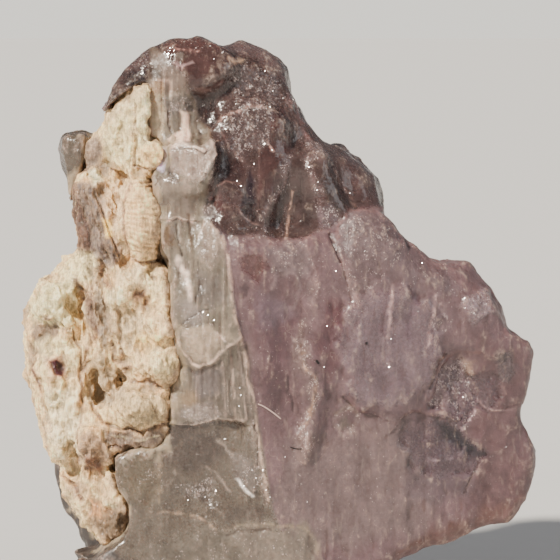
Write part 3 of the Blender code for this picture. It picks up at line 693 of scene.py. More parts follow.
# What is seen on the smoky-rose block at the top.
UPPER_MARKS = (
    Mark("left_flank", AREA, "110,108 122,72 138,54 150,52 150,84 122,104", 0.8, (74, 56, 54), 0.9, 0.4,
        sparkle=0.1),
    Mark("flank_shine", AREA, "128,58 146,54 148,64 134,72", 0.5, (150, 126, 124), 0.5, 0.5, sparkle=0.4),
    Mark("flank_dark", AREA, "128,74 146,72 142,86 124,92", 0.5, (48, 38, 44), 0.7, 0.4),
    Mark("dome", AREA, "157,46 175,36 213,36 226,46 234,60 229,76 212,88 194,88 182,74 165,58", 0.5,
        (110, 75, 70), 0.9, 0.3, sparkle=0.1, rough=0.1),
    # Painted highlight along the top of the smooth dome, with its white line.
    Mark("dome_cap", LINE, "168,46 182,42 205,42 220,50", 1.2, (140, 98, 88), 0.7, 0.4, sparkle=0.5),
    Mark("cap_line", LINE, "174,49 186,51 201,50", 0.3, (214, 196, 188), 0.85, 0.1, height=0.06,
        sparkle=0.5),
    Mark("cap_streak", LINE, "174,62 182,65 192,61", 0.35, (214, 206, 204), 0.85, 0.1, height=0.05),
    Mark("dome_crack", LINE, "217,43 226,50 236,56", 0.3, (46, 30, 30), 0.8, height=-0.18),
    Mark("platelet", LINE, "228,58 234,62 243,60", 0.55, (222, 214, 200), 0.9, 0.1, height=0.10),
    Mark("platelet_tail", LINE, "232,62 236,70 228,78", 0.6, (160, 146, 134), 0.7, 0.2, height=0.05,
        sparkle=0.4),
    Mark("lilac_lump", AREA, "222,40 244,37 268,48 284,66 292,92 280,84 262,62 240,52", 0.8,
        (150, 126, 122), 0.85, 0.4, sparkle=0.12, rough=0.22),
    Mark("lump_shadow", LINE, "236,52 256,62 272,78 282,96", 0.8, (90, 68, 66), 0.6, 0.3, height=-0.10),
    Mark("sugar_zone", AREA, "232,70 258,66 276,84 282,104 262,102 240,96 224,88", 0.8, (126, 104, 98), 0.8,
        0.7, sparkle=0.85, rough=0.3),
    Mark("veil_line", LINE, "188,92 200,91 212,88 222,82", 0.5, (186, 170, 162), 0.75, 0.25, height=0.06,
        sparkle=0.5),
    Mark("brown_facet", AREA, "199,98 212,94 217,112 208,128 198,124", 0.5, (72, 50, 48), 0.8, 0.4,
        height=-0.10),
    Mark("sparkle_facet", AREA, "218,122 228,108 252,100 272,104 276,126 268,146 244,152 222,146", 0.8,
        (136, 116, 112), 0.75, 0.9, sparkle=0.95, rough=0.24),
    Mark("facet_arc", LINE, "217,123 222,117 234,111 250,107 263,106", 0.35, (216, 204, 196), 0.85, 0.08,
        height=0.08, sparkle=0.5),
    Mark("facet_arc_low", LINE, "219,132 228,146 244,160", 0.35, (176, 156, 150), 0.6, 0.2, height=0.05),
    Mark("dark_slit", LINE, "240,93 246,96 254,95", 0.4, (40, 30, 32), 0.8, 0.1, height=-0.12),
    Mark("red_pocket", AREA, "270,110 282,106 286,122 280,138 270,132", 0.5, (104, 66, 64), 0.8, 0.4),
    Mark("red_facet", AREA, "215,150 232,147 244,164 242,180 218,181", 0.5, (78, 50, 48), 0.85, 0.4,
        height=-0.08),
    Mark("red_panel", AREA, "260,150 272,142 290,143 289,160 279,182 266,205 260,205", 0.5, (106, 72, 68),
        0.9, 0.2, sparkle=0.08, rough=0.14),
    Mark("panel_edge", LINE, "259,146 259,170 260,190 258,206", 0.35, (150, 118, 112), 0.6, height=0.08),
    Mark("panel_tick", LINE, "268,143 273,152", 0.25, (220, 210, 204), 0.85, height=0.05),
    Mark("round_facet", AREA, "210,198 224,183 242,188 248,204 240,218 222,224 210,214", 0.5, (112, 84, 80),
        0.8, 0.2, height=0.10),
    Mark("round_facet_red", AREA, "211,196 222,190 228,204 220,216 211,212", 0.5, (110, 62, 60), 0.7, 0.3),
    Mark("round_rim", LINE, "210,200 214,188 226,181 240,184", 0.3, (186, 166, 158), 0.7, height=0.08),
    Mark("indigo_wedge", AREA, "250,168 254,186 257,206 241,206 246,188", 0.35, (58, 44, 56), 0.9, 0.1,
        height=-0.12, rough=0.12),
    Mark("wedge_pit", AREA, "240,208 256,207 260,220 250,224", 0.4, (50, 38, 38), 0.8, 0.3, height=-0.20),
    Mark("pit_arc", LINE, "236,206 242,215 253,223 262,226", 0.3, (182, 166, 158), 0.7, 0.08, height=0.08),
    Mark("fan_left_pane", AREA, "291,164 307,162 313,198 313,230 292,238 290,200", 0.5, (102, 80, 74), 0.8,
        0.2, sparkle=0.05, rough=0.14),
    Mark("fan_shade", AREA, "298,176 306,186 310,226 298,226", 0.8, (66, 48, 46), 0.6, 0.4),
    Mark("fan_right_pane", AREA, "322,170 338,184 350,206 334,214 326,196", 0.5, (80, 62, 58), 0.85, 0.2,
        sparkle=0.05, rough=0.12),
    Mark("fan_band_1", LINE, "308,158 311,170 317,184 321,204 327,226", 0.95, (184, 170, 168), 0.8, 0.25,
        height=0.20, sparkle=0.95, rough=0.2),
    Mark("fan_foot", AREA, "318,204 334,206 334,226 324,230", 0.5, (168, 154, 156), 0.7, 0.5, sparkle=0.9),
    Mark("fan_band_2", LINE, "320,148 331,164 341,184 354,206", 0.6, (184, 168, 160), 0.8, 0.2, height=0.18,
        sparkle=0.8),
    Mark("fan_band_3", LINE, "289,158 284,176 276,194 267,214 262,233", 0.95, (180, 168, 164), 0.8, 0.35,
        height=0.18, sparkle=0.9, rough=0.2),
    Mark("band_3_shade", LINE, "279,180 281,196 276,212", 0.6, (70, 56, 62), 0.6, 0.3),
    Mark("bright_thread", LINE, "293,191 290,206 288,222 286,239", 0.28, (224, 212, 200), 0.9, height=0.10),
    Mark("knob_skin", AREA, "345,150 372,168 384,206 360,208 352,190 342,168", 0.6, (122, 92, 88), 0.85,
        0.2, sparkle=0.05, rough=0.2),
    Mark("right_rim_streak", LINE, "290,96 298,110 304,124 312,140", 0.8, (186, 160, 154), 0.75, 0.3,
        height=0.08, sparkle=0.5),
    Mark("rim_grain", AREA, "306,138 318,142 324,158 312,160", 0.5, (172, 154, 148), 0.7, 0.5, sparkle=0.9),
    Mark("streak_set_1", LINE, "284,104 290,120 292,140", 0.3, (160, 142, 134), 0.7, height=0.06),
    Mark("streak_set_2", LINE, "289,102 296,120 300,142", 0.3, (156, 136, 130), 0.6, height=0.06),
    Mark("streak_set_3", LINE, "278,92 286,100 296,112", 0.3, (190, 176, 168), 0.7, height=0.05,
        sparkle=0.5),
    Mark("corner_speckle", AREA, "204,204 216,203 220,216 206,220", 0.5, (128, 110, 100), 0.8, 0.4,
        sparkle=0.7, rough=0.6),
    Mark("base_grain", LINE, "232,228 262,232 284,234", 0.9, (150, 132, 124), 0.6, 0.5, sparkle=0.8),
)

# What is seen on the grey columns, from their top down to the ridge beside the slab.
COLUMN_MARKS = (
    Mark("veined_panel", AREA, "150,52 168,50 184,66 190,90 170,78 152,82", 0.5, (170, 160, 144), 0.8, 0.6,
        sparkle=0.3, rough=0.5),
    Mark("panel_hole", AREA, "148,64 158,66 162,74 152,78", 0.4, (96, 78, 62), 0.8, 0.3, height=-0.12),
    Mark("clear_strip", AREA, "151,82 163,80 165,108 160,143 153,138", 0.4, (202, 194, 174), 0.95, 0.15,
        clear=0.1, sparkle=0.3, rough=0.2),
    Mark("strip_line", LINE, "150,84 151,110 152,138", 0.28, (214, 208, 200), 0.8, height=0.10),
    Mark("top_ridge", LINE, "158,80 170,78 172,98", 0.5, (226, 220, 210), 0.8, 0.15, height=0.12,
        sparkle=0.5),
    Mark("panel_speckle", AREA, "166,98 188,92 196,112 186,116 168,114", 0.5, (146, 132, 116), 0.8, 0.4,
        sparkle=0.9),
    Mark("panel_crack", LINE, "169,110 168,122 171,134", 0.4, (90, 66, 52), 0.8, 0.15, height=-0.14),
    Mark("cream_patch", AREA, "180,112 189,114 191,142 172,144 168,140 182,130", 0.35, (244, 232, 218), 1.0,
        0.2, height=0.12, clear=0.0, sparkle=0.3, rough=0.5),
    Mark("brown_seams", LINE, "196,108 198,126 200,146", 0.5, (84, 66, 56), 0.8, 0.3, height=-0.10),
    Mark("white_platelet", AREA, "154,160 159,152 168,146 168,160 163,172 156,169", 0.25, (228, 222, 226),
        0.9, height=0.15, rough=0.2),
    Mark("sugar_block", AREA, "168,145 186,143 200,147 212,143 214,156 207,168 198,181 170,173", 0.4,
        (190, 178, 164), 0.8, 0.3, sparkle=0.6, rough=0.34),
    Mark("block_left", LINE, "168,146 169,160 170,175", 0.4, (104, 86, 70), 0.8, 0.1, height=-0.15),
    # Painted highlight on the sugar block's right corner.
    Mark("block_corner", LINE, "212,141 216,154 210,166 203,178", 0.6, (255, 250, 242), 1.0, 0.1,
        height=0.2, clear=0.0),
    Mark("block_top_line", LINE, "170,147 182,143 192,146 204,150", 0.4, (244, 236, 226), 1.0, 0.15,
        height=0.15),
    Mark("block_step", STEP, "212,142 200,147 186,143 168,146", 1.3, height=0.20, ragged=0.1),
    Mark("corner_step", STEP, "203,178 210,166 216,154 212,141", 1.0, height=0.20, ragged=0.1),
    Mark("foot_step", STEP, "159,222 168,221 176,218 184,222 193,221", 1.0, height=0.18, ragged=0.1),
    # Painted shade under the sugar block's top edge.
    Mark("block_underside", LINE, "172,149 186,147 196,149 204,154 208,150", 0.35, (90, 74, 62), 0.7, 0.1,
        height=-0.15),
    Mark("clear_window", AREA, "148,176 170,175 198,182 199,200 193,221 166,221 152,196", 0.4,
        (178, 164, 142), 0.9, 0.15, clear=0.4, sparkle=0.03, rough=0.15),
    Mark("window_grain", AREA, "168,172 176,174 178,186 169,184", 0.3, (150, 138, 126), 0.7, 0.2,
        sparkle=0.9),
    Mark("window_pleat", LINE, "183,182 185,200 188,220", 0.6, (184, 170, 156), 0.6, 0.15, height=0.10),
    Mark("window_foot", LINE, "159,222 168,221 176,218 184,222 193,221", 0.4, (240, 232, 222), 1.0, 0.15,
        height=0.15),
    Mark("brown_window", AREA, "161,226 173,225 175,246 161,248", 0.3, (152, 124, 90), 0.95, 0.1, clear=0.2,
        sparkle=0.0, rough=0.14),
    Mark("pleat_dark_1", LINE, "176,224 178,240 182,256", 0.35, (80, 66, 52), 0.9, height=-0.14),
    Mark("pleat_light_1", LINE, "180,224 181,242", 0.35, (196, 186, 174), 0.7, height=0.08),
    Mark("pleat_brown", LINE, "187,214 190,230 191,250", 0.5, (120, 92, 66), 0.85, 0.15, height=-0.08),
    Mark("column_top", AREA, "205,221 215,230 222,246 224,262 210,266 198,258 197,236", 0.6,
        (176, 162, 144), 0.7, 0.4, sparkle=0.5),
    Mark("column_peak", LINE, "197,236 205,220 216,230 223,248", 0.35, (208, 198, 186), 0.6, 0.15,
        height=0.10),
    Mark("left_ridge", LINE, "180,260 185,272 188,284 192,300", 1.0, (244, 236, 226), 1.0, 0.25,
        height=0.25),
    Mark("mid_shade", AREA, "196,270 220,272 228,300 214,310 198,298", 0.9, (140, 124, 108), 0.8, 0.5,
        clear=0.3),
    Mark("mid_white", AREA, "176,306 196,300 212,318 200,330 180,326", 0.7, (178, 168, 158), 0.6, 0.6,
        sparkle=0.4),
    Mark("mid_crease_1", LINE, "176,330 188,320 200,312 212,308", 0.3, (104, 92, 84), 0.6, 0.2,
        height=-0.12),
    Mark("mid_crease_2", LINE, "196,262 200,284 197,304", 0.3, (112, 98, 88), 0.6, 0.2, height=-0.12),
    Mark("arrow_face", AREA, "180,334 206,328 230,336 218,354 204,364 188,360", 0.6, (204, 194, 176), 0.75,
        0.4, height=0.08, sparkle=0.6),
    Mark("arrow_rim", LINE, "240,336 226,350 212,361 200,367 190,364 181,350 176,336", 0.40,
        (226, 216, 204), 0.9, 0.2, height=0.12),
    Mark("arrow_shade", LINE, "222,360 208,370 196,374 184,368", 0.7, (104, 90, 80), 0.8, 0.2,
        height=-0.15),
    Mark("arrow_cut", LINE, "216,332 226,342", 0.3, (222, 214, 206), 0.7, height=0.08),
    Mark("striated_face", AREA, "190,372 222,362 246,345 256,420 196,424", 0.8, (122, 106, 88), 0.8, 0.4),
    Mark("striae_1", LINE, "222,358 224,380 226,418", 0.28, (196, 184, 172), 0.7, height=0.10),
    Mark("striae_2", LINE, "230,350 233,378 236,419", 0.28, (200, 188, 174), 0.7, height=0.10),
    Mark("striae_3", LINE, "238,345 242,375 246,418", 0.28, (190, 178, 166), 0.7, height=0.10),
    Mark("striae_4", LINE, "244,356 248,385 253,424", 0.24, (196, 184, 172), 0.6, height=0.08),
    Mark("striae_gap", LINE, "226,356 229,380 231,416", 0.35, (128, 114, 100), 0.6, height=-0.08),
    Mark("violet_pane", AREA, "194,372 220,368 222,392 208,402 196,398", 0.7, (142, 127, 118), 0.7, 0.4),
    Mark("yellow_pane", AREA, "178,392 196,390 202,406 184,414", 0.8, (178, 158, 118), 0.75, 0.5),
    Mark("overhang_white", AREA, "190,408 212,406 222,416 196,424 180,420", 0.5, (184, 174, 162), 0.6, 0.5,
        sparkle=0.8),
    Mark("overhang", STEP, "244,424 232,422 217,420 193,426 180,426 166,424 150,427 136,431", 1.2,
        height=-0.12, ragged=0.12),
    Mark("overhang_line", LINE, "136,429 150,425 166,423 180,425 193,425 217,419 243,421", 0.3,
        (206, 196, 184), 0.7, 0.06, height=0.12),
    # Painted shadow under the overhang.
    Mark("overhang_dark", LINE, "160,430 174,433 190,430 206,427", 0.7, (72, 58, 50), 0.65, 0.3,
        height=-0.08),
    Mark("main_ridge", LINE, "222,236 229,262 231,292 238,328 243,350 250,384 255,408 259,440 264,472 "
        "269,500", 0.50, (208, 196, 182), 0.9, 0.15, height=0.20, sparkle=0.5),
    Mark("ridge_fringe", LINE, "252,412 256,440 260,468 266,502", 1.0, (184, 172, 158), 0.7, 0.3,
        sparkle=0.7),
    Mark("ridge_pits", LINE, "257,424 260,446 258,466", 0.3, (44, 38, 34), 0.8, 0.3, height=-0.12),
    Mark("ridge_shadow", LINE, "232,262 235,296 242,328 248,352 255,386", 0.35, (122, 94, 90), 0.3,
        height=-0.04),
)

# What is seen on the smoky window under the columns.
WINDOW_MARKS = (
    Mark("window_deep", AREA, "112,436 160,436 158,500 120,505 104,470", 1.5, (144, 124, 92), 0.8, 0.8,
        sparkle=0.4),
    Mark("window_shade", AREA, "168,430 215,428 228,460 190,470 164,458", 1.2, (96, 78, 66), 0.8, 0.6,
        sparkle=0.1),
    Mark("pane_line", LINE, "161,446 159,466 160,502", 0.3, (186, 172, 144), 0.75, 0.15, height=0.06),
    Mark("veil_1", LINE, "150,470 164,456 176,448", 0.8, (176, 162, 140), 0.7, 0.5, sparkle=0.4),
    Mark("veil_2", LINE, "160,510 180,514 202,519 216,530", 0.3, (190, 174, 148), 0.75, 0.15, height=0.06),
    Mark("veil_3", LINE, "150,520 156,500 153,484", 0.9, (166, 154, 130), 0.5, 0.4, sparkle=0.4),
    Mark("grain_cluster", AREA, "180,484 200,480 218,488 214,504 190,506", 0.9, (150, 134, 118), 0.5, 0.7,
        sparkle=0.75),
    Mark("diagonal_1", LINE, "205,466 220,478 232,492", 0.3, (190, 178, 164), 0.8, 0.2, height=0.06),
    Mark("diagonal_2", LINE, "216,440 230,452 240,470", 0.35, (190, 180, 166), 0.7, 0.25, height=0.08),
    Mark("wedge_tip", AREA, "228,450 250,456 260,478 254,498 240,482", 0.5, (150, 136, 122), 0.8, 0.2,
        clear=0.2, sparkle=0.5),
    # Painted highlight, a bright glint along the glassy wedge tip.
    Mark("wedge_streak", LINE, "238,479 242,486 247,492 253,496", 0.45, (255, 252, 246), 1.0, height=0.2,
        clear=0.0, rough=0.3),
    Mark("lower_brown", AREA, "220,500 262,506 268,524 226,522", 0.9, (114, 95, 78), 0.8, 0.5),
)

# What is seen on the feldspar crust. The dark colours of its grooves, gaps, creases, pits and
# undersides, such as lobe_groove, spur_underside, foot_under and strand_gap, are painted shade
# in those crevices.
CRUST_MARKS = (
    Mark("upper_left_lobe", AREA, "98,132 112,112 130,97 137,92 136,160 124,170 104,160", 1.2,
        (238, 222, 202), 0.8, 0.4, height=0.40),
    Mark("upper_right_lobe", AREA, "137,92 150,86 151,140 150,166 138,164", 0.9, (242, 226, 206), 0.9, 0.3,
        height=0.45),
    Mark("upper_groove", LINE, "135,104 136,130 136,164", 0.5, (196, 174, 150), 0.6, 0.25, height=-0.30),
    Mark("yellow_spur", AREA, "140,148 152,144 165,147 160,156 150,168 142,166", 0.5, (254, 230, 198), 0.95,
        0.3, height=0.45),
    Mark("spur_underside", LINE, "134,166 143,169 153,168", 0.35, (98, 60, 28), 0.8, 0.1, height=-0.35),
    Mark("left_underside", LINE, "112,170 120,174 128,178", 0.35, (96, 62, 32), 0.8, 0.15, height=-0.35),
    Mark("under_flank", AREA, "98,118 104,104 124,92 146,82 150,94 128,106 108,122", 0.8, (206, 190, 170),
        0.6, 0.3, height=0.50),
    Mark("blades_grey", AREA, "76,182 104,186 122,262 104,270 88,256", 0.8, (168, 152, 134), 0.8, 0.4),
    Mark("plate_grey", AREA, "66,142 100,138 104,160 80,170 68,160", 0.9, (166, 150, 134), 0.8, 0.5),
    Mark("plate_groove", LINE, "72,162 84,168 90,172", 0.4, (104, 80, 60), 0.7, 0.15, height=-0.25),
    Mark("white_lump", AREA, "88,172 98,170 101,182 92,186", 0.5, (240, 228, 214), 0.8, 0.2, height=0.45),
    Mark("pink_flake", AREA, "108,178 126,180 124,214 114,252 106,230 104,198", 0.7, (228, 208, 192), 0.6,
        0.4, height=0.35),
    Mark("barrel", AREA, "132,182 148,184 157,202 161,230 156,256 140,262 130,252 125,224 127,198", 1.4,
        (222, 200, 174), 0.7, 0.15, height=0.55),
    Mark("barrel_left", LINE, "130,184 124,204 123,230 130,256", 0.5, (120, 98, 76), 0.6, 0.1,
        height=-0.40),
    Mark("barrel_foot", LINE, "130,258 142,264 158,260 163,250", 0.45, (110, 82, 54), 0.7, 0.15,
        height=-0.40),
    Mark("barrel_right", LINE, "152,186 160,206 163,236", 0.35, (130, 106, 80), 0.6, 0.1, height=-0.25),
    Mark("blade_1", LINE, "80,186 90,222 104,262", 0.7, (144, 132, 120), 0.95, 0.15, height=0.35),
    Mark("blade_2", LINE, "90,190 100,220 114,262", 0.7, (140, 128, 114), 0.95, 0.15, height=0.30),
    Mark("blade_3", LINE, "84,224 92,250 100,268", 0.6, (146, 132, 116), 0.95, 0.15, height=0.30),
    Mark("blade_gap_1", LINE, "84,190 95,222 108,262", 0.35, (104, 90, 76), 0.65, 0.12, height=-0.35),
    Mark("blade_gap_2", LINE, "98,196 104,216 118,256", 0.35, (110, 96, 80), 0.6, 0.12, height=-0.35),
    Mark("blade_gap_3", LINE, "78,200 86,232 92,256", 0.35, (120, 96, 74), 0.6, 0.12, height=-0.30),
    Mark("brown_flank", AREA, "60,168 76,182 84,214 92,252 80,256 66,200", 0.6, (104, 88, 72), 0.9, 0.3),
    Mark("yellow_spot", AREA, "102,220 112,219 114,237 105,239", 0.35, (240, 218, 166), 0.8, 0.15,
        height=0.10),
    Mark("spine", LINE, "94,262 100,300 104,340 100,376 96,404", 1.7, (184, 170, 152), 0.8, 0.25,
        height=0.35),
    Mark("spine_right", LINE, "96,262 110,288 120,320 122,350 128,378", 0.8, (128, 106, 84), 0.65, 0.3,
        height=-0.50),
    Mark("spine_left", LINE, "85,256 92,284 91,312 97,334 84,350 82,380 84,410", 0.9, (118, 100, 80), 0.65,
        0.3, height=-0.30),
    Mark("spine_brown", LINE, "94,262 106,276 112,290", 0.9, (168, 132, 96), 0.6, 0.3),
    Mark("orange_stain", AREA, "115,262 128,260 128,272 116,272", 0.7, (202, 174, 140), 0.6, 0.4),
    Mark("boss_top", AREA, "118,268 142,266 150,284 134,292 118,284", 0.8, (234, 216, 200), 0.5, 0.4,
        height=0.40),
    Mark("boss_small", AREA, "106,290 120,288 124,304 110,310", 0.6, (226, 212, 196), 0.6, 0.3,
        height=0.40),
    Mark("boss_right", AREA, "146,274 158,268 166,290 154,304 146,292", 0.6, (232, 216, 196), 0.5, 0.35,
        height=0.35),
    Mark("pink_bed", AREA, "112,300 148,306 150,318 124,330 110,320", 0.7, (222, 204, 186), 0.6, 0.5),
    Mark("grey_bed", AREA, "112,322 140,312 150,324 136,346 120,350", 0.8, (206, 190, 170), 0.6, 0.5),
    Mark("boss_yellow", AREA, "138,338 156,330 166,342 154,356 140,352", 0.7, (234, 212, 170), 0.6, 0.4,
        height=0.30),
    # Painted highlight on the right boss.
    Mark("boss_bright", AREA, "148,354 166,350 177,362 170,378 152,370", 0.7, (246, 228, 206), 0.6, 0.35,
        height=0.40),
    Mark("right_edge", LINE, "168,308 173,330 178,352 180,380", 0.6, (186, 156, 126), 0.6, 0.3,
        height=-0.20),
    Mark("pit_1", AREA, "131,290 141,290 142,297 133,298", 0.6, (120, 86, 54), 0.9, 0.5, height=-0.35),
    Mark("pit_2", AREA, "142,298 150,300 148,306 142,304", 0.5, (120, 86, 54), 0.8, 0.4, height=-0.30),
    Mark("pit_3", LINE, "112,344 118,356 128,367", 0.7, (104, 78, 56), 0.8, 0.4, height=-0.25),
    Mark("pit_4", LINE, "134,380 142,377 150,384 163,387", 0.7, (104, 80, 56), 0.8, 0.4, height=-0.30),
    Mark("pit_5", AREA, "150,274 156,276 155,282 150,281", 0.5, (150, 120, 90), 0.7, 0.4, height=-0.20),
    Mark("grey_matrix", AREA, "92,362 128,368 130,392 112,412 92,404", 1.0, (182, 170, 150), 0.6, 0.6),
    Mark("matrix_stain", AREA, "84,360 108,356 110,372 92,384", 0.8, (198, 180, 150), 0.6, 0.5),
    Mark("foot_lump", AREA, "120,398 134,391 158,394 166,412 156,426 132,424 118,412", 1.1, (204, 188, 164),
        0.7, 0.4, height=0.50),
    Mark("foot_crease", LINE, "140,396 152,404 158,418", 0.35, (160, 138, 112), 0.5, 0.2, height=-0.25),
    Mark("foot_under", LINE, "92,408 104,424 124,430 150,430 168,424", 0.5, (104, 84, 64), 0.7, 0.25,
        height=-0.45),
    Mark("green_flakes", AREA, "106,430 140,434 168,428 160,446 126,452 106,446", 0.8, (150, 134, 112), 0.9,
        0.5),
    Mark("flake_line_1", LINE, "112,436 136,440 160,436", 0.3, (206, 194, 172), 0.6, 0.15, height=0.25),
    Mark("flake_line_2", LINE, "108,448 128,446 142,452", 0.35, (84, 62, 40), 0.75, 0.15, height=-0.30),
    Mark("lobe_crown", AREA, "62,266 80,248 92,254 92,280 78,284 66,282", 0.8, (220, 208, 190), 0.5, 0.3,
        height=0.40),
    Mark("lobe_groove", LINE, "76,280 84,292 91,308", 1.4, (134, 114, 88), 0.8, 0.4, height=-0.20),
    Mark("lobe_face", AREA, "32,300 46,280 70,278 82,300 78,326 54,322 34,322", 1.2, (240, 226, 206), 0.8,
        0.5, height=0.40),
    Mark("lobe_grey", AREA, "32,322 58,320 56,336 42,340 32,334", 0.6, (168, 152, 132), 0.8, 0.4,
        height=-0.30),
    Mark("lobe_cheek", AREA, "34,340 52,336 76,342 80,366 60,384 40,372", 1.1, (234, 220, 200), 0.5, 0.4,
        height=0.40),
    Mark("lobe_split", LINE, "60,326 72,332 78,346 80,362", 0.4, (120, 96, 74), 0.7, 0.2, height=-0.35),
    Mark("plum_halo", AREA, "44,356 66,356 70,382 50,380", 0.8, (200, 168, 146), 0.6, 0.4),
    Mark("plum_spot", AREA, "50,361 58,359 65,368 63,378 55,375", 0.35, (100, 50, 60), 1.0, 0.1,
        height=-0.25),
    Mark("outer_crack", LINE, "32,366 40,388 46,408 50,432", 0.45, (60, 48, 40), 0.8, 0.2, height=-0.55),
    Mark("chin", AREA, "46,392 76,394 82,416 72,460 54,462 46,430", 1.1, (242, 226, 210), 0.8, 0.4,
        height=0.30),
    Mark("chin_edge", LINE, "82,412 77,434 78,462", 0.4, (110, 84, 62), 0.6, 0.15, height=-0.35),
    Mark("amber_grain", AREA, "80,436 92,430 106,440 108,462 98,474 84,466 78,450", 0.7, (184, 160, 130),
        0.8, 0.3, height=0.35),
    Mark("amber_shade", AREA, "84,456 100,462 102,476 86,472", 0.5, (126, 82, 40), 0.7, 0.3),
    Mark("strand_1", LINE, "62,466 80,474 92,490 112,506", 0.7, (218, 206, 190), 0.5, 0.2, height=0.35),
    Mark("strand_gap", LINE, "60,474 72,484 82,500", 0.55, (46, 36, 30), 0.8, 0.2, height=-0.60),
    Mark("strand_2", LINE, "66,492 76,512 92,528", 1.1, (226, 212, 194), 0.5, 0.2, height=0.35),
    Mark("amber_patch", AREA, "86,496 104,498 108,514 92,518", 0.6, (190, 146, 86), 0.7, 0.5, sparkle=0.8),
    Mark("yellow_foot", AREA, "92,520 112,510 138,512 142,546 122,556 100,536", 0.9, (150, 132, 98), 0.9,
        0.5),
)


# Share of its colour that a line of sparkling grains leaves to the grains.
GRAIN_THINNING = 0.4

# Share of a line that no gap takes away, of a plain line and of one with sparkling grains.
WHOLE_LINE = 0.4
WHOLE_GRAINY_LINE = 0.2

# Gaps in the colour of lines, and where a line is whole between them.
LINE_GAPS = Waves((0.26, 0.26, 0.40), 93, 2)
LINE_WHOLE = Ramp(-0.30, 0.10)

# Breaks in the height of lines, and how much of its height a line keeps on average.
LINE_BREAKS = Waves((0.35, 0.35, 0.5), 94, 2)
LINE_BREAKING = 1.2
LINE_RELIEF = 0.28

# Share of its depth that a hollow or a groove keeps.
SINKING = 0.65

# Waves that bend ragged edges. They seldom reach their full height, so they are raised.
WANDER_WAVES = tuple(Waves((1.2, 1.2, 1.4), seed, 2) for seed in (91, 92))
WANDER_GAIN = 1.7

# How a vertex comes to face the camera as its normal turns towards it.
FACING = Ramp(-0.05, 0.30)


def wandering(places: Array) -> Array:
    """Two numbers from -1 to 1 for each place, which bend the edges of ragged marks."""
    return np.stack([waves.at(places) for waves in WANDER_WAVES], axis=1) * WANDER_GAIN


def facing(surface: Surface) -> Array:
    """Share from 0 to 1 of how much each vertex faces the photo camera."""
    return FACING.at(surface.normals @ np.array(CAMERA.toward))


def blend(colours: Array, goal: Array, share: Array) -> None:
    """Bring rows of colours nearer to a goal, in place, by a share for each row."""
    colours += (goal - colours) * share[:, None]


def paint(surface: Surface, marks: tuple[Mark, ...], start: Array) -> Array:
    """Lay marks over the looks of a surface's front.

    Args:
        surface: the surface.
        marks: what is laid on it, the first one lowest.
        start: looks of each vertex: linear red, green and blue, clearness, sparkle, roughness.

    Returns:
        The looks with the marks.
    """
    pixels = CAMERA.pixels(surface.places)
    wander = wandering(surface.places)
    front = facing(surface)
    gaps = LINE_WHOLE.at(LINE_GAPS.at(surface.places))
    looks = start.copy()
    for mark in marks:
        cover = mark.cover(pixels, wander) * front
        thinning = 0.0
        if mark.shape is LINE:
            whole = WHOLE_GRAINY_LINE if mark.sparkle else WHOLE_LINE
            cover *= whole + (1.0 - whole) * gaps
            thinning = GRAIN_THINNING * (mark.sparkle or 0.0)
        if mark.colour is not None:
            weight = cover * mark.strength * (1.0 - thinning)
            blend(looks[:, :3], tint(mark.colour), weight)
            if mark.shape is LINE:
                looks[:, Trait.CLEAR] *= 1.0 - weight
        for trait, value in mark.traits.items():
            looks[:, trait] += (value - looks[:, trait]) * cover
    return looks


def covers(marks: Sequence[Mark], places: Array) -> Array:
    """Share of each place that marks cover, one row for each mark."""
    pixels = CAMERA.pixels(places)
    wander = wandering(places)
    return np.array([mark.cover(pixels, wander) for mark in marks])


def relief(surface: Surface, marks: tuple[Mark, ...], rise: float = 1.0) -> Array:
    """Heights that marks give to the front of a surface.

    Args:
        surface: the surface.
        marks: what stands up from it or is sunk into it.
        rise: share of its height that a raised area keeps.

    Returns:
        Heights in millimetres.
    """
    pixels = CAMERA.pixels(surface.places)
    wander = wandering(surface.places)
    breaks = LINE_RELIEF * (1.0 + LINE_BREAKING * LINE_BREAKS.at(surface.places))
    heights = np.zeros(len(surface.places))
    for mark in marks:
        if mark.height == 0.0:
            continue
        if mark.shape is STEP:
            kept = 1.0
        elif mark.height < 0.0:
            kept = SINKING
        else:
            kept = breaks if mark.shape is LINE else rise
        heights += mark.cover(pixels, wander) * mark.height * kept
    return heights * facing(surface)


def write_looks(obj: bpy.types.Object, looks: Array, edge: Array) -> None:
    """Store looks on an object's vertices for its material to read.

    Args:
        obj: the object.
        looks: linear red, green and blue, clearness, sparkle and roughness of each vertex.
        edge: how far each vertex stands out, from 0 in a deep hollow to 1 on a sharp edge.
    """
    colour = np.column_stack([looks[:, :3], np.ones(len(looks))])
    traits = np.column_stack([looks[:, 3:], edge])
    for name, values in (("tint", colour), ("traits", traits)):
        layer = obj.data.attributes.new(name, "FLOAT_COLOR", "POINT")
        layer.data.foreach_set("color", np.clip(values, 0.0, 1.0).astype(np.float32).ravel())


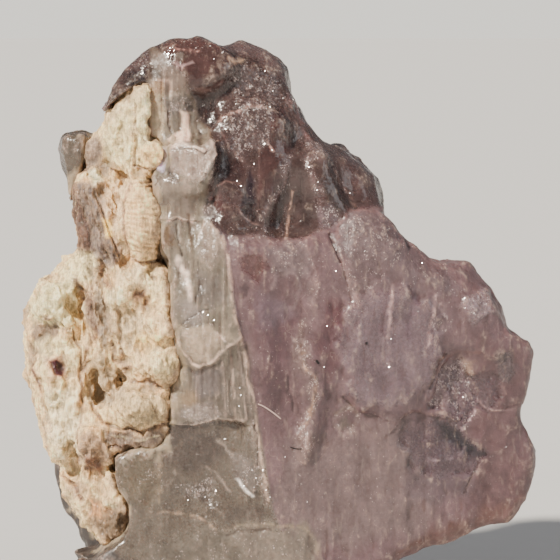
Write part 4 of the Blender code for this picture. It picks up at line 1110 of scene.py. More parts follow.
class Nodes:
    """Short ways to lay out the nodes of one material."""

    def __init__(self, name: str) -> None:
        """Make the material with its shader and its output."""
        self.material = bpy.data.materials.new(name)
        self.material.use_nodes = True
        self.tree = self.material.node_tree
        self.shader = self.tree.nodes["Principled BSDF"]
        self.output = self.tree.nodes["Material Output"]
        self.coordinates = self.tree.nodes.new("ShaderNodeTexCoord").outputs["Object"]

    def link(self, source: bpy.types.NodeSocket, target: bpy.types.NodeSocket) -> None:
        """Join two sockets."""
        self.tree.links.new(source, target)

    def fill(self, socket: bpy.types.NodeSocket, value: object) -> None:
        """Link a socket to a value that is a socket, or set it."""
        if isinstance(value, bpy.types.NodeSocket):
            self.link(value, socket)
        else:
            socket.default_value = value

    def vector(self, operation: str, first: object, second: object) -> bpy.types.NodeSocket:
        """Result of one sum on two vectors."""
        node = self.tree.nodes.new("ShaderNodeVectorMath")
        node.operation = operation
        self.fill(node.inputs[0], first)
        self.fill(node.inputs[1], second)
        return node.outputs["Value" if operation == "DOT_PRODUCT" else "Vector"]

    def scaled(self, size_mm: Size) -> bpy.types.NodeSocket:
        """Coordinates in which something of that size is one unit long."""
        return self.vector("DIVIDE", self.coordinates, Vector(size_mm) * MM)

    def texture(self, kind: str, place: bpy.types.NodeSocket) -> bpy.types.Node:
        """Texture node whose pattern is one unit large in the coordinates given."""
        node = self.tree.nodes.new(kind)
        self.link(place, node.inputs["Vector"])
        node.inputs["Scale"].default_value = 1.0
        return node

    def noise(self, size_mm: Size, detail: float = 3.0) -> bpy.types.NodeSocket:
        """Soft noise from 0 to 1 of one size."""
        node = self.texture("ShaderNodeTexNoise", self.scaled(size_mm))
        node.inputs["Detail"].default_value = detail
        return node.outputs["Fac"]

    def grains(self, size_mm: Size) -> bpy.types.NodeSocket:
        """A number from 0 to 1 for each grain of one size."""
        node = self.texture("ShaderNodeTexVoronoi", self.scaled(size_mm))
        return self.parts(node.outputs["Color"])[0]

    def cracks(self, size_mm: float, bend: float) -> bpy.types.NodeSocket:
        """Distance from the nearest of the bent cracks that cut the stone into cells.

        Args:
            size_mm: width of a cell, which is taller than wide.
            bend: how far the cracks wander, in cells.

        Returns:
            The distance, in cells.
        """
        stretch = 1.6
        wander = self.texture("ShaderNodeTexNoise", self.scaled((size_mm, size_mm, size_mm)))
        moved = self.vector("MULTIPLY", wander.outputs["Color"], (bend, bend, bend))
        place = self.vector("ADD", self.scaled((size_mm, size_mm, size_mm * stretch)), moved)
        node = self.texture("ShaderNodeTexVoronoi", place)
        node.feature = "DISTANCE_TO_EDGE"
        return node.outputs["Distance"]

    def facets(self, size_mm: float) -> bpy.types.NodeSocket:
        """Height of small leaning facets, about -0.5 to 0.5 times their size."""
        place = self.scaled((size_mm, size_mm, size_mm))
        node = self.texture("ShaderNodeTexVoronoi", place)
        away = self.vector("SUBTRACT", place, node.outputs["Position"])
        lean = self.vector("SUBTRACT", node.outputs["Color"], (0.5, 0.5, 0.5))
        return self.vector("DOT_PRODUCT", away, lean)

    def attribute(self, name: str) -> bpy.types.Node:
        """Node that reads a value of the vertices."""
        node = self.tree.nodes.new("ShaderNodeAttribute")
        node.attribute_name = name
        return node

    def parts(self, colour: bpy.types.NodeSocket) -> list[bpy.types.NodeSocket]:
        """Red, green and blue of a colour."""
        node = self.tree.nodes.new("ShaderNodeSeparateColor")
        self.link(colour, node.inputs["Color"])
        return list(node.outputs)[:3]

    def looks(self) -> tuple[bpy.types.NodeSocket, ...]:
        """Colour, clearness, sparkle, roughness and edge that write_looks stored."""
        traits = self.attribute("traits")
        return (self.attribute("tint").outputs["Color"], *self.parts(traits.outputs["Color"]),
                traits.outputs["Alpha"])

    def math(self, operation: str, *values: object) -> bpy.types.NodeSocket:
        """Result of one sum on sockets or numbers."""
        node = self.tree.nodes.new("ShaderNodeMath")
        node.operation = operation
        for socket, value in zip(node.inputs, values):
            self.fill(socket, value)
        return node.outputs["Value"]

    def product(self, first: object, second: object) -> bpy.types.NodeSocket:
        """One value times another."""
        return self.math("MULTIPLY", first, second)

    def ramp(self, value: bpy.types.NodeSocket, ramp: Ramp) -> bpy.types.NodeSocket:
        """What a ramp makes of a value."""
        node = self.tree.nodes.new("ShaderNodeMapRange")
        node.interpolation_type = "SMOOTHSTEP"
        self.link(value, node.inputs["Value"])
        for name, number in (("From Min", ramp.low), ("From Max", ramp.high),
                             ("To Min", ramp.start), ("To Max", ramp.end)):
            self.fill(node.inputs[name], number)
        return node.outputs["Result"]

    def mix(self, share: object, first: object, second: object, kind: str = "MIX") -> bpy.types.NodeSocket:
        """Colour between two colours, by a share from 0 to 1."""
        node = self.tree.nodes.new("ShaderNodeMix")
        node.data_type = "RGBA"
        node.blend_type = kind
        sockets = {socket.identifier: socket for socket in node.inputs}
        for name, value in (("Factor_Float", share), ("A_Color", first), ("B_Color", second)):
            self.fill(sockets[name], value)
        return next(socket for socket in node.outputs if socket.identifier == "Result_Color")

    def bump(self, height: bpy.types.NodeSocket, depth_mm: float) -> None:
        """Let a height from 0 to 1 bend the shader's normal."""
        node = self.tree.nodes.new("ShaderNodeBump")
        node.inputs["Distance"].default_value = depth_mm * MM
        self.link(height, node.inputs["Height"])
        self.link(node.outputs["Normal"], self.shader.inputs["Normal"])

    def set(self, **values: object) -> None:
        """Fill the shader's sockets, named with _ for a space."""
        for name, value in values.items():
            self.fill(self.shader.inputs[name.replace("_", " ")], value)

    def glow(self, share: float, reach_mm: Size) -> None:
        """Let a share of the light wander under the surface, each colour by its own reach."""
        self.set(Subsurface_Weight=share, Subsurface_Radius=Vector(reach_mm) * MM, Subsurface_Scale=1.0)


@dataclass(frozen=True)
class QuartzFinish:
    """Glassy quartz whose colour, clearness and grain its vertices carry.

    Attributes:
        ior: refractive index of quartz.
        glow: share of the light that wanders under the surface.
        glow_mm: how far red, green and blue light wanders.
        depth_colour: colour that light takes on its way through the stone.
        depth_density: how strongly the stone takes up light, for each metre.
        lightening: power of the colour where it is clear, where light dims inside the stone.
        veil: colour of white veils and broken edges.
        painted_glint: colour of the bright specks, which are painted glints of light off tiny facets.
        shade: painted shade, the colour that the bottom of hollows is multiplied by.

    Sizes of its patterns end in _mm, and those of healed and hairline cracks also say how much the
    cracks bend. Ramps say how the patterns, the clearness, and the edge, which is 0 in a hollow
    and 1 on a sharp edge, set the share of each colour. Shares in the height come last.
    """

    ior: float = 1.544
    glow: float = 0.50
    glow_mm: Size = (0.9, 0.6, 0.5)
    depth_colour: Paint = (0.62, 0.42, 0.36, 1.0)
    depth_density: float = 210.0
    lightening: float = 0.6
    veil: Colour = (198, 186, 172)
    painted_glint: Colour = (204, 196, 190)
    shade: Paint = (0.55, 0.45, 0.43, 1.0)
    cloud_mm: Size = (1.3, 1.3, 1.8)
    fine_mm: Size = (0.30, 0.30, 0.34)
    wisp_mm: Size = (0.40, 0.40, 1.4)
    patch_mm: Size = (0.55, 0.55, 0.7)
    speck_mm: Size = (0.075, 0.075, 0.0975)
    facet_mm: float = 0.22
    healed_mm: tuple[float, float] = (1.5, 0.9)
    hairline_mm: tuple[float, float] = (0.7, 0.5)
    bump_mm: float = 0.035
    cloud_gain: Ramp = Ramp(0.3, 0.7, 0.83, 1.17)
    fine_gain: Ramp = Ramp(0.3, 0.7, 0.89, 1.11)
    wispy: Ramp = Ramp(0.56, 0.74, 0.0, 0.22)
    healed_line: Ramp = Ramp(0.022, 0.006)
    healed_where: Ramp = Ramp(0.50, 0.66, 0.0, 0.22)
    hair_line: Ramp = Ramp(0.035, 0.010)
    hair_where: Ramp = Ramp(0.56, 0.70, 0.0, 0.14)
    cracks_in_clear: Ramp = Ramp(0.10, 0.35, 1.0, 0.0)
    crowding: Ramp = Ramp(0.44, 0.62)
    crowd_power: float = 1.5
    crowd_gain: float = 0.42
    painted_glint_ramp: Ramp = Ramp(0.992, 1.04)
    speck_share: Ramp = Ramp(0.0, 0.45, 0.55, 0.45)
    crested: Ramp = Ramp(0.64, 0.96)
    crest_patchy: Ramp = Ramp(0.42, 0.62, 0.1, 0.5)
    hollow: Ramp = Ramp(0.44, 0.10, 0.0, 0.7)
    gloss_change: Ramp = Ramp(0.35, 0.7, -0.06, 0.10)
    swell_share: tuple[float, float] = (0.8, 0.6)
    flat_share: tuple[float, float] = (0.8, 2.6)

    def make(self) -> bpy.types.Material:
        """Make the material."""
        nodes = Nodes("quartz_finish")
        body, clear, sparkle, rough, edge = nodes.looks()
        clouds = nodes.noise(self.cloud_mm, 4.0)
        fine = nodes.noise(self.fine_mm)
        wisps = nodes.noise(self.wisp_mm, 5.0)
        patches = nodes.noise(self.patch_mm)
        veil = (*tint(self.veil), 1.0)
        painted_glint = (*tint(self.painted_glint), 1.0)

        gain = nodes.product(nodes.ramp(clouds, self.cloud_gain), nodes.ramp(fine, self.fine_gain))
        colour = nodes.mix(1.0, body, gain, "MULTIPLY")
        milky = nodes.product(nodes.ramp(wisps, self.wispy), nodes.math("SUBTRACT", 1.0, clear))
        veiled = nodes.math("MAXIMUM", milky, self.cracked(nodes, clouds, patches, clear))
        colour = nodes.mix(veiled, colour, veil)
        # Painted glints: bright specks in the colour where the sparkle crowds, for light off tiny facets.
        crowd = nodes.math("POWER", sparkle, self.crowd_power)
        crowd = nodes.product(crowd, nodes.ramp(patches, self.crowding))
        number = nodes.math("MULTIPLY_ADD", crowd, self.crowd_gain, nodes.grains(self.speck_mm))
        bright = nodes.ramp(number, self.painted_glint_ramp)
        colour = nodes.mix(nodes.product(bright, nodes.ramp(clear, self.speck_share)), colour, painted_glint)
        crest = nodes.product(nodes.ramp(edge, self.crested), nodes.ramp(fine, self.crest_patchy))
        colour = nodes.mix(crest, colour, veil)
        # Painted shade: towards the bottom of hollows the colour is multiplied by the shade colour.
        colour = nodes.mix(nodes.ramp(edge, self.hollow), colour, self.shade, "MULTIPLY")
        glassy = nodes.tree.nodes.new("ShaderNodeGamma")
        nodes.link(colour, glassy.inputs["Color"])
        glassy.inputs["Gamma"].default_value = self.lightening
        colour = nodes.mix(clear, colour, glassy.outputs["Color"])

        solid = nodes.math("MAXIMUM", nodes.math("MAXIMUM", veiled, crest), bright)
        clearness = nodes.product(clear, nodes.math("SUBTRACT", 1.0, solid))
        gloss = nodes.math("ADD", rough, nodes.ramp(fine, self.gloss_change))
        ripples = nodes.product(fine, self.swell_share[1])
        swells = nodes.math("MULTIPLY_ADD", clouds, self.swell_share[0], ripples)
        flatness = nodes.math("MULTIPLY_ADD", sparkle, self.flat_share[1], self.flat_share[0])
        flats = nodes.product(nodes.facets(self.facet_mm), flatness)
        nodes.bump(nodes.math("ADD", swells, flats), self.bump_mm)
        nodes.set(Base_Color=colour, Roughness=gloss, Transmission_Weight=clearness, IOR=self.ior)
        nodes.glow(self.glow, self.glow_mm)
        self.fill_depth(nodes)
        return nodes.material

    def cracked(self, nodes: Nodes, clouds: bpy.types.NodeSocket, patches: bpy.types.NodeSocket,
                clear: bpy.types.NodeSocket) -> bpy.types.NodeSocket:
        """Share of the veil's colour in the cracks.

        Args:
            nodes: the material's nodes.
            clouds: noise that says where the healed cracks are.
            patches: noise that says where the hairline cracks are.
            clear: clearness, in which no crack shows.

        Returns:
            The share, from 0 to 1.
        """
        healed = nodes.ramp(nodes.cracks(*self.healed_mm), self.healed_line)
        hairline = nodes.ramp(nodes.cracks(*self.hairline_mm), self.hair_line)
        lines = nodes.product(healed, nodes.ramp(clouds, self.healed_where))
        threads = nodes.product(hairline, nodes.ramp(patches, self.hair_where))
        return nodes.product(nodes.math("MAXIMUM", lines, threads), nodes.ramp(clear, self.cracks_in_clear))

    def fill_depth(self, nodes: Nodes) -> None:
        """Let the stone take up light on its way through."""
        depth = nodes.tree.nodes.new("ShaderNodeVolumeAbsorption")
        depth.inputs["Color"].default_value = self.depth_colour
        depth.inputs["Density"].default_value = self.depth_density
        nodes.link(depth.outputs["Volume"], nodes.output.inputs["Volume"])


@dataclass(frozen=True)
class FeldsparFinish:
    """Matt cream feldspar with a fibrous grain and browner hollows.

    Attributes:
        ior: refractive index of albite.
        glow: share of the light that wanders under the surface.
        glow_mm: how far red, green and blue light wanders.
        pale: colour that no place is lighter than.
        dusk: how much the greyer patches are dimmed.
        hollow_brown: brown that is mixed into the deeper hollows, in patches.

    Sizes of its patterns end in _mm. Ramps say how the patterns and the edge, which is 0 in a
    hollow and 1 on a sharp edge, change the colour and the roughness; hollow_shade_gain is painted
    shade in the hollows and painted light on the sharp edges. Shares in the height come last.
    """

    ior: float = 1.53
    glow: float = 0.22
    glow_mm: Size = (0.3, 0.2, 0.14)
    pale: Paint = (0.97, 0.87, 0.72, 1.0)
    dusk: Paint = (0.62, 0.58, 0.52, 1.0)
    hollow_brown: Paint = (0.30, 0.24, 0.165, 1.0)
    cloud_mm: Size = (0.9, 0.9, 1.3)
    fibre_mm: Size = (0.13, 0.3, 1.1)
    fine_mm: Size = (0.16, 0.16, 0.16)
    patch_mm: Size = (0.55, 0.55, 0.9)
    grain_mm: Size = (0.20, 0.20, 0.30)
    facet_mm: float = 0.25
    bump_mm: float = 0.11
    fibre_gain: Ramp = Ramp(0.3, 0.7, 0.78, 1.16)
    fine_gain: Ramp = Ramp(0.3, 0.7, 0.86, 1.14)
    cloud_gain: Ramp = Ramp(0.42, 0.70, 0.90, 1.15)
    hollow_shade_gain: Ramp = Ramp(0.15, 0.80, 0.68, 1.14)
    grain_gain: Ramp = Ramp(0.80, 0.86, 1.0, 1.12)
    dusky: Ramp = Ramp(0.53, 0.62, 0.0, 0.60)
    deeper_hollows: Ramp = Ramp(0.45, 0.12)
    brown_patches: Ramp = Ramp(0.35, 0.6, 0.10, 0.4)
    dull: Ramp = Ramp(0.3, 0.7, 0.50, 0.72)
    shiny: Ramp = Ramp(0.86, 0.92)
    shine: float = 0.28
    sparkle_shine: float = 0.2
    fibre_height: float = 0.7
    fine_height: float = 0.5
    facet_height: float = 1.3

    def make(self) -> bpy.types.Material:
        """Make the material."""
        nodes = Nodes("feldspar_finish")
        colour, _, sparkle, _, edge = nodes.looks()
        clouds = nodes.noise(self.cloud_mm, 4.0)
        fibres = nodes.noise(self.fibre_mm, 4.0)
        fine = nodes.noise(self.fine_mm)
        patches = nodes.noise(self.patch_mm, 5.0)
        grain = nodes.grains(self.grain_mm)

        # hollow_shade_gain paints shade into the hollows and light onto the crests; the rest is uneven tone.
        for value, gain in ((fibres, self.fibre_gain), (fine, self.fine_gain), (clouds, self.cloud_gain),
                            (edge, self.hollow_shade_gain), (grain, self.grain_gain)):
            colour = nodes.mix(1.0, colour, nodes.ramp(value, gain), "MULTIPLY")
        colour = nodes.mix(nodes.ramp(patches, self.dusky), colour, self.dusk, "MULTIPLY")
        browned = nodes.product(nodes.ramp(edge, self.deeper_hollows), nodes.ramp(clouds, self.brown_patches))
        colour = nodes.mix(browned, colour, self.hollow_brown)
        colour = nodes.mix(1.0, colour, self.pale, "DARKEN")
        gloss = nodes.math("SUBTRACT", nodes.ramp(fine, self.dull),
                           nodes.product(nodes.ramp(grain, self.shiny), self.shine))
        gloss = nodes.math("SUBTRACT", gloss, nodes.product(sparkle, self.sparkle_shine))
        height = nodes.math("MULTIPLY_ADD", fibres, self.fibre_height, nodes.product(fine, self.fine_height))
        height = nodes.math("MULTIPLY_ADD", nodes.facets(self.facet_mm), self.facet_height, height)
        nodes.bump(height, self.bump_mm)
        nodes.set(Base_Color=colour, Roughness=gloss, IOR=self.ior)
        nodes.glow(self.glow, self.glow_mm)
        return nodes.material


def thin(obj: bpy.types.Object, triangles: int, where: Array | None = None) -> None:
    """Merge faces until a mesh has about so many triangles.

    Args:
        obj: the object.
        triangles: how many are kept.
        where: which vertices may be merged, or None for all of them.
    """
    count = triangle_count(obj)
    if count <= triangles:
        return
    settings = {"ratio": triangles / count, "use_collapse_triangulate": True}
    if where is not None:
        group = obj.vertex_groups.new(name="merged")
        group.add(np.flatnonzero(where).tolist(), 1.0, "REPLACE")
        settings |= {"vertex_group": group.name, "vertex_group_factor": 0.0}
    apply_modifier(obj, "DECIMATE", **settings)
    obj.vertex_groups.clear()


def fine_copy(node: str, name: str, grid_mm: float, rounds: int, crease: float) -> bpy.types.Object:
    """New object with a CAD node's shape as a fine, evenly spaced mesh with soft faces.

    Args:
        node: the CAD node.
        name: the new object's name.
        grid_mm: spacing of the first mesh, twice that of the last one.
        rounds: how many times the first mesh is smoothed.
        crease: how much normals may differ before an edge is kept.

    Returns:
        The object.
    """
    obj = copy_of(node, name)
    apply_modifier(obj, "REMESH", mode="VOXEL", voxel_size=grid_mm * MM, adaptivity=0.0)
    Surface(obj).soften(rounds, crease)
    apply_modifier(obj, "SUBSURF", levels=1, render_levels=1, boundary_smooth="ALL")
    return obj


def nearness(surface: Surface, node: str, reach_mm: float) -> Array:
    """How near each vertex is to a CAD node: 1 where it touches, 0 from the reach on.

    Args:
        surface: the surface.
        node: the CAD node.
        reach_mm: how far the nearness reaches.

    Returns:
        One number for each vertex.
    """
    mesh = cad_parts[node].data
    tree = BVHTree.FromPolygons([vertex.co.copy() for vertex in mesh.vertices],
                                [tuple(face.vertices) for face in mesh.polygons])
    away = np.full(len(surface.places), reach_mm)
    for i, place in enumerate(surface.places):
        found = tree.find_nearest(Vector(place) * MM, reach_mm * MM)
        if found[3] is not None:
            away[i] = found[3] / MM
    return soft_step(1.0 - away / reach_mm)


def edge_share(surface: Surface, rounds: int, reach_mm: float) -> Array:
    """How far each vertex stands out, from 0 in a deep hollow to 1 on a sharp edge."""
    return np.clip(0.5 + 0.5 * surface.bulge(rounds) / reach_mm, 0.0, 1.0)


def bent(places: Array, by_mm: float) -> Array:
    """Places moved by soft waves, so that the forms laid on them aren't straight."""
    wander = wandering(places)
    return places + np.column_stack([wander, wander[:, 0]]) * by_mm


def finish_piece(obj: bpy.types.Object, node: str, material: bpy.types.Material,
                 edge_angle: float) -> None:
    """Give a dressed stone its material and let it take its CAD node's place.

    Args:
        obj: the stone.
        node: the CAD node.
        material: its material.
        edge_angle: from which angle on its edges stay sharp, in degrees.
    """
    shade_smooth(obj, edge_angle)
    obj.data.materials.clear()
    obj.data.materials.append(material)
    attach(obj, "root")
    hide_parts(node)


@dataclass
class QuartzStone:
    """The quartz, with its broken faces, ledges, ridges and veils.

    Attributes:
        grid_mm: spacing of the first mesh, twice that of the last one.
        softening: rounds of softening of the first mesh, and how much normals may differ in it.
        triangles: how many triangles are kept.
        back_triangles: how many of them the sides and the back may keep.
        foot_mm: height up to which the cut foot is left flat.
        bend_mm: how far the broken facets are bent.
        broad: large broken facets, facet_mm high at the sides and ledge_mm high on the block.
        small: small ones, chip_mm high at the sides and hackle_mm high on the front.
        hackled: share of the hackles by sparkle, and rocky_hackles what rocky marks add.
        flutes: upright flutes on the front, flute_mm high.
        smoother: share of the flutes that the block, the window and rocky marks lose.
        rolls: soft rolls on the front, roll_mm high.
        striae: fine upright lines on the grey columns, stria_mm high.
        grains: fine sparkling facets, grain_mm high where the sparkle is full.
        rocky: names of the marks that have broken facets in place of flutes.
        seam_mm: how far it swells into its seam with the crust.
        seam_reach_mm: width of the strip along the seam that swells and takes a cream tint.
        rose, grey, smoky, milk: display colours of the slab, the left, the top and the clouds.
        traits: clearness, sparkle and roughness under the marks.
        rolling: waves that bend the borders of the smoky top and the grey left.
        top_bend, left_bend: how far they bend them.
        upper_dimming: how much the colours of the upper block are dimmed, for its clearness
            gathers light.
        cream: display colour of the strip along the seam.
        edge: rounds of averaging and reach in millimetres that tell hollows from edges; the finish
        darkens the hollows by them as painted shade.
        edge_angle: from which angle on edges stay sharp, in degrees.
        hidden: how little a vertex faces the camera that counts as hidden.
    """

    grid_mm: float = 0.30
    softening: tuple[int, float] = (10, 0.55)
    triangles: int = 190_000
    back_triangles: int = 50_000
    foot_mm: float = 0.05
    bend_mm: float = 0.35
    broad: Shells = Shells((5.2, 4.6, 6.0), 21)
    small: Shells = Shells((1.7, 1.5, 2.2), 22)
    facet_mm: float = 1.3
    chip_mm: float = 0.325
    ledge_mm: float = 0.35
    hackle_mm: float = 0.22
    hackled: Ramp = Ramp(0.0, 0.4, 0.3, 1.0)
    rocky_hackles: float = 0.9
    flutes: Waves = Waves((0.9, 1.6, 7.0), 23, 3)
    flute_mm: float = 0.16
    smoother: tuple[float, float, float] = (0.5, 0.8, 0.8)
    rolls: Waves = Waves((2.6, 2.6, 3.4), 24, 3)
    roll_mm: float = 0.12
    striae: Waves = Waves((0.32, 0.7, 6.0), 26, 2)
    stria_mm: float = 0.12
    grains: Shells = Shells((0.55, 0.55, 0.6), 25)
    grain_mm: float = 0.12
    rocky: tuple[str, ...] = ("right_lobes", "rust_edge", "right_plum")
    seam_mm: float = 0.26
    seam_reach_mm: float = 1.6
    rose: Colour = (150, 118, 116)
    grey: Colour = (140, 122, 106)
    smoky: Colour = (106, 82, 78)
    milk: Colour = (188, 168, 162)
    traits: tuple[float, float, float] = (0.18, 0.22, 0.30)
    rolling: Waves = Waves((5.0, 5.0, 6.0), 31, 3)
    top_mm: Ramp = Ramp(33.0, 38.0, 0.0, 0.9)
    top_bend: float = 2.5
    left_mm: Ramp = Ramp(5.0, 11.0)
    left_bend: float = 3.0
    cloudy: Waves = Waves((1.8, 1.8, 2.4), 32, 3)
    cloud_gain: float = 0.20
    milky: Ramp = Ramp(0.15, 0.50, 0.0, 0.35)
    mottled: Waves = Waves((0.8, 0.8, 1.0), 34, 4)
    mottling: tuple[float, float] = (0.10, 0.7)
    upper_dimming: tuple[float, float, float] = (0.72, 0.60, 0.56)
    cream: Colour = (184, 174, 148)
    cream_traits: tuple[float, float, float] = (0.0, 0.3, 0.8)
    patchy: Waves = Waves((0.8, 0.8, 1.0), 33, 3)
    patch_share: float = 1.1
    creamy: Ramp = Ramp(0.40, 0.70, 0.0, 0.85)
    cream_on_block: float = 0.2
    edge: tuple[int, float] = (4, 0.06)
    edge_angle: float = 38.0
    hidden: float = 0.05

    def build(self) -> bpy.types.Object:
        """Make the stone in place of its CAD node."""
        obj = fine_copy("rose_quartz", "rose_quartz_stone", self.grid_mm, *self.softening)
        self.carve(Surface(obj))
        front = facing(Surface(obj)) > self.hidden
        hidden = triangle_count(obj) * (1.0 - front.mean())
        if hidden > self.back_triangles:
            thin(obj, round(triangle_count(obj) - hidden + self.back_triangles), ~front)
        thin(obj, self.triangles)
        surface = Surface(obj)
        looks = self.looks(surface)
        self.add_cream(surface, looks)
        write_looks(obj, looks, edge_share(surface, *self.edge))
        finish_piece(obj, "rose_quartz", QuartzFinish().make(), self.edge_angle)
        return obj

    def marks(self) -> tuple[Mark, ...]:
        """All that is seen on the front of the quartz, the lowest first."""
        return QUARTZ_PARTS + SLAB_MARKS + UPPER_MARKS + COLUMN_MARKS + WINDOW_MARKS

    def carve(self, surface: Surface) -> None:
        """Give the surface its facets, flutes and marks."""
        places = surface.places
        above_foot = places[:, 2] >= self.foot_mm
        curved = bent(places, self.bend_mm)
        front = facing(surface)
        looks = self.looks(surface)
        broad = self.broad.at(curved)
        small = self.small.at(curved)
        block, _, columns, window = covers(QUARTZ_PARTS[:4], places)
        rocky = np.max(covers([mark for mark in SLAB_MARKS if mark.name in self.rocky], places), axis=0)
        hackles = self.hackled.at(looks[:, Trait.SPARKLE]) + rocky * self.rocky_hackles
        fluted = 1.0 - np.array(self.smoother) @ np.array((block, window, rocky))
        on_back = broad * self.facet_mm + small * self.chip_mm
        on_front = self.flutes.at(places) * self.flute_mm * fluted
        on_front += self.rolls.at(places) * self.roll_mm
        on_front += small * self.hackle_mm * hackles
        on_front += broad * self.ledge_mm * block
        on_front += self.striae.at(places) * self.stria_mm * columns
        heights = on_back * (1.0 - front) + on_front * front + relief(surface, self.marks())
        heights += nearness(surface, "feldspar_crust", self.seam_reach_mm) * self.seam_mm
        surface.swell(heights * above_foot)
        sparkling = self.grains.at(surface.places) * looks[:, Trait.SPARKLE]
        surface.swell(sparkling * self.grain_mm * above_foot)
        surface.stand()

    def looks(self, surface: Surface) -> Array:
        """Colour, clearness, sparkle and roughness of each vertex."""
        places = surface.places
        x, _, z = places.T
        rolling = self.rolling.at(places)
        cloudy = self.cloudy.at(places)
        colour = np.tile(tint(self.rose), (len(x), 1))
        blend(colour, tint(self.grey), self.left_mm.at(rolling * self.left_bend - x))
        blend(colour, tint(self.smoky), self.top_mm.at(rolling * self.top_bend + z))
        colour *= (1.0 + self.cloud_gain * cloudy)[:, None]
        blend(colour, tint(self.milk), self.milky.at(cloudy))
        start = np.column_stack([colour, np.tile(self.traits, (len(x), 1))])
        looks = paint(surface, self.marks(), start)
        block = covers(QUARTZ_PARTS[:1], places)[0] * facing(surface)
        looks[:, :3] *= 1.0 - (1.0 - np.array(self.upper_dimming)) * block[:, None]
        plain, in_clear = self.mottling
        mottling = self.mottled.at(places) * (plain + in_clear * looks[:, Trait.CLEAR])
        looks[:, :3] *= (1.0 + mottling)[:, None]
        return looks

    def add_cream(self, surface: Surface, looks: Array) -> None:
        """Let the looks turn to the crust's along the seam, with a ragged edge."""
        near = nearness(surface, "feldspar_crust", self.seam_reach_mm)
        patchy = self.patchy.at(surface.places) * self.patch_share
        block = covers(QUARTZ_PARTS[:1], surface.places)[0]
        share = self.creamy.at(near + patchy) * (1.0 - (1.0 - self.cream_on_block) * block)
        blend(looks, np.array((*tint(self.cream), *self.cream_traits)), share * (near > 0.0))


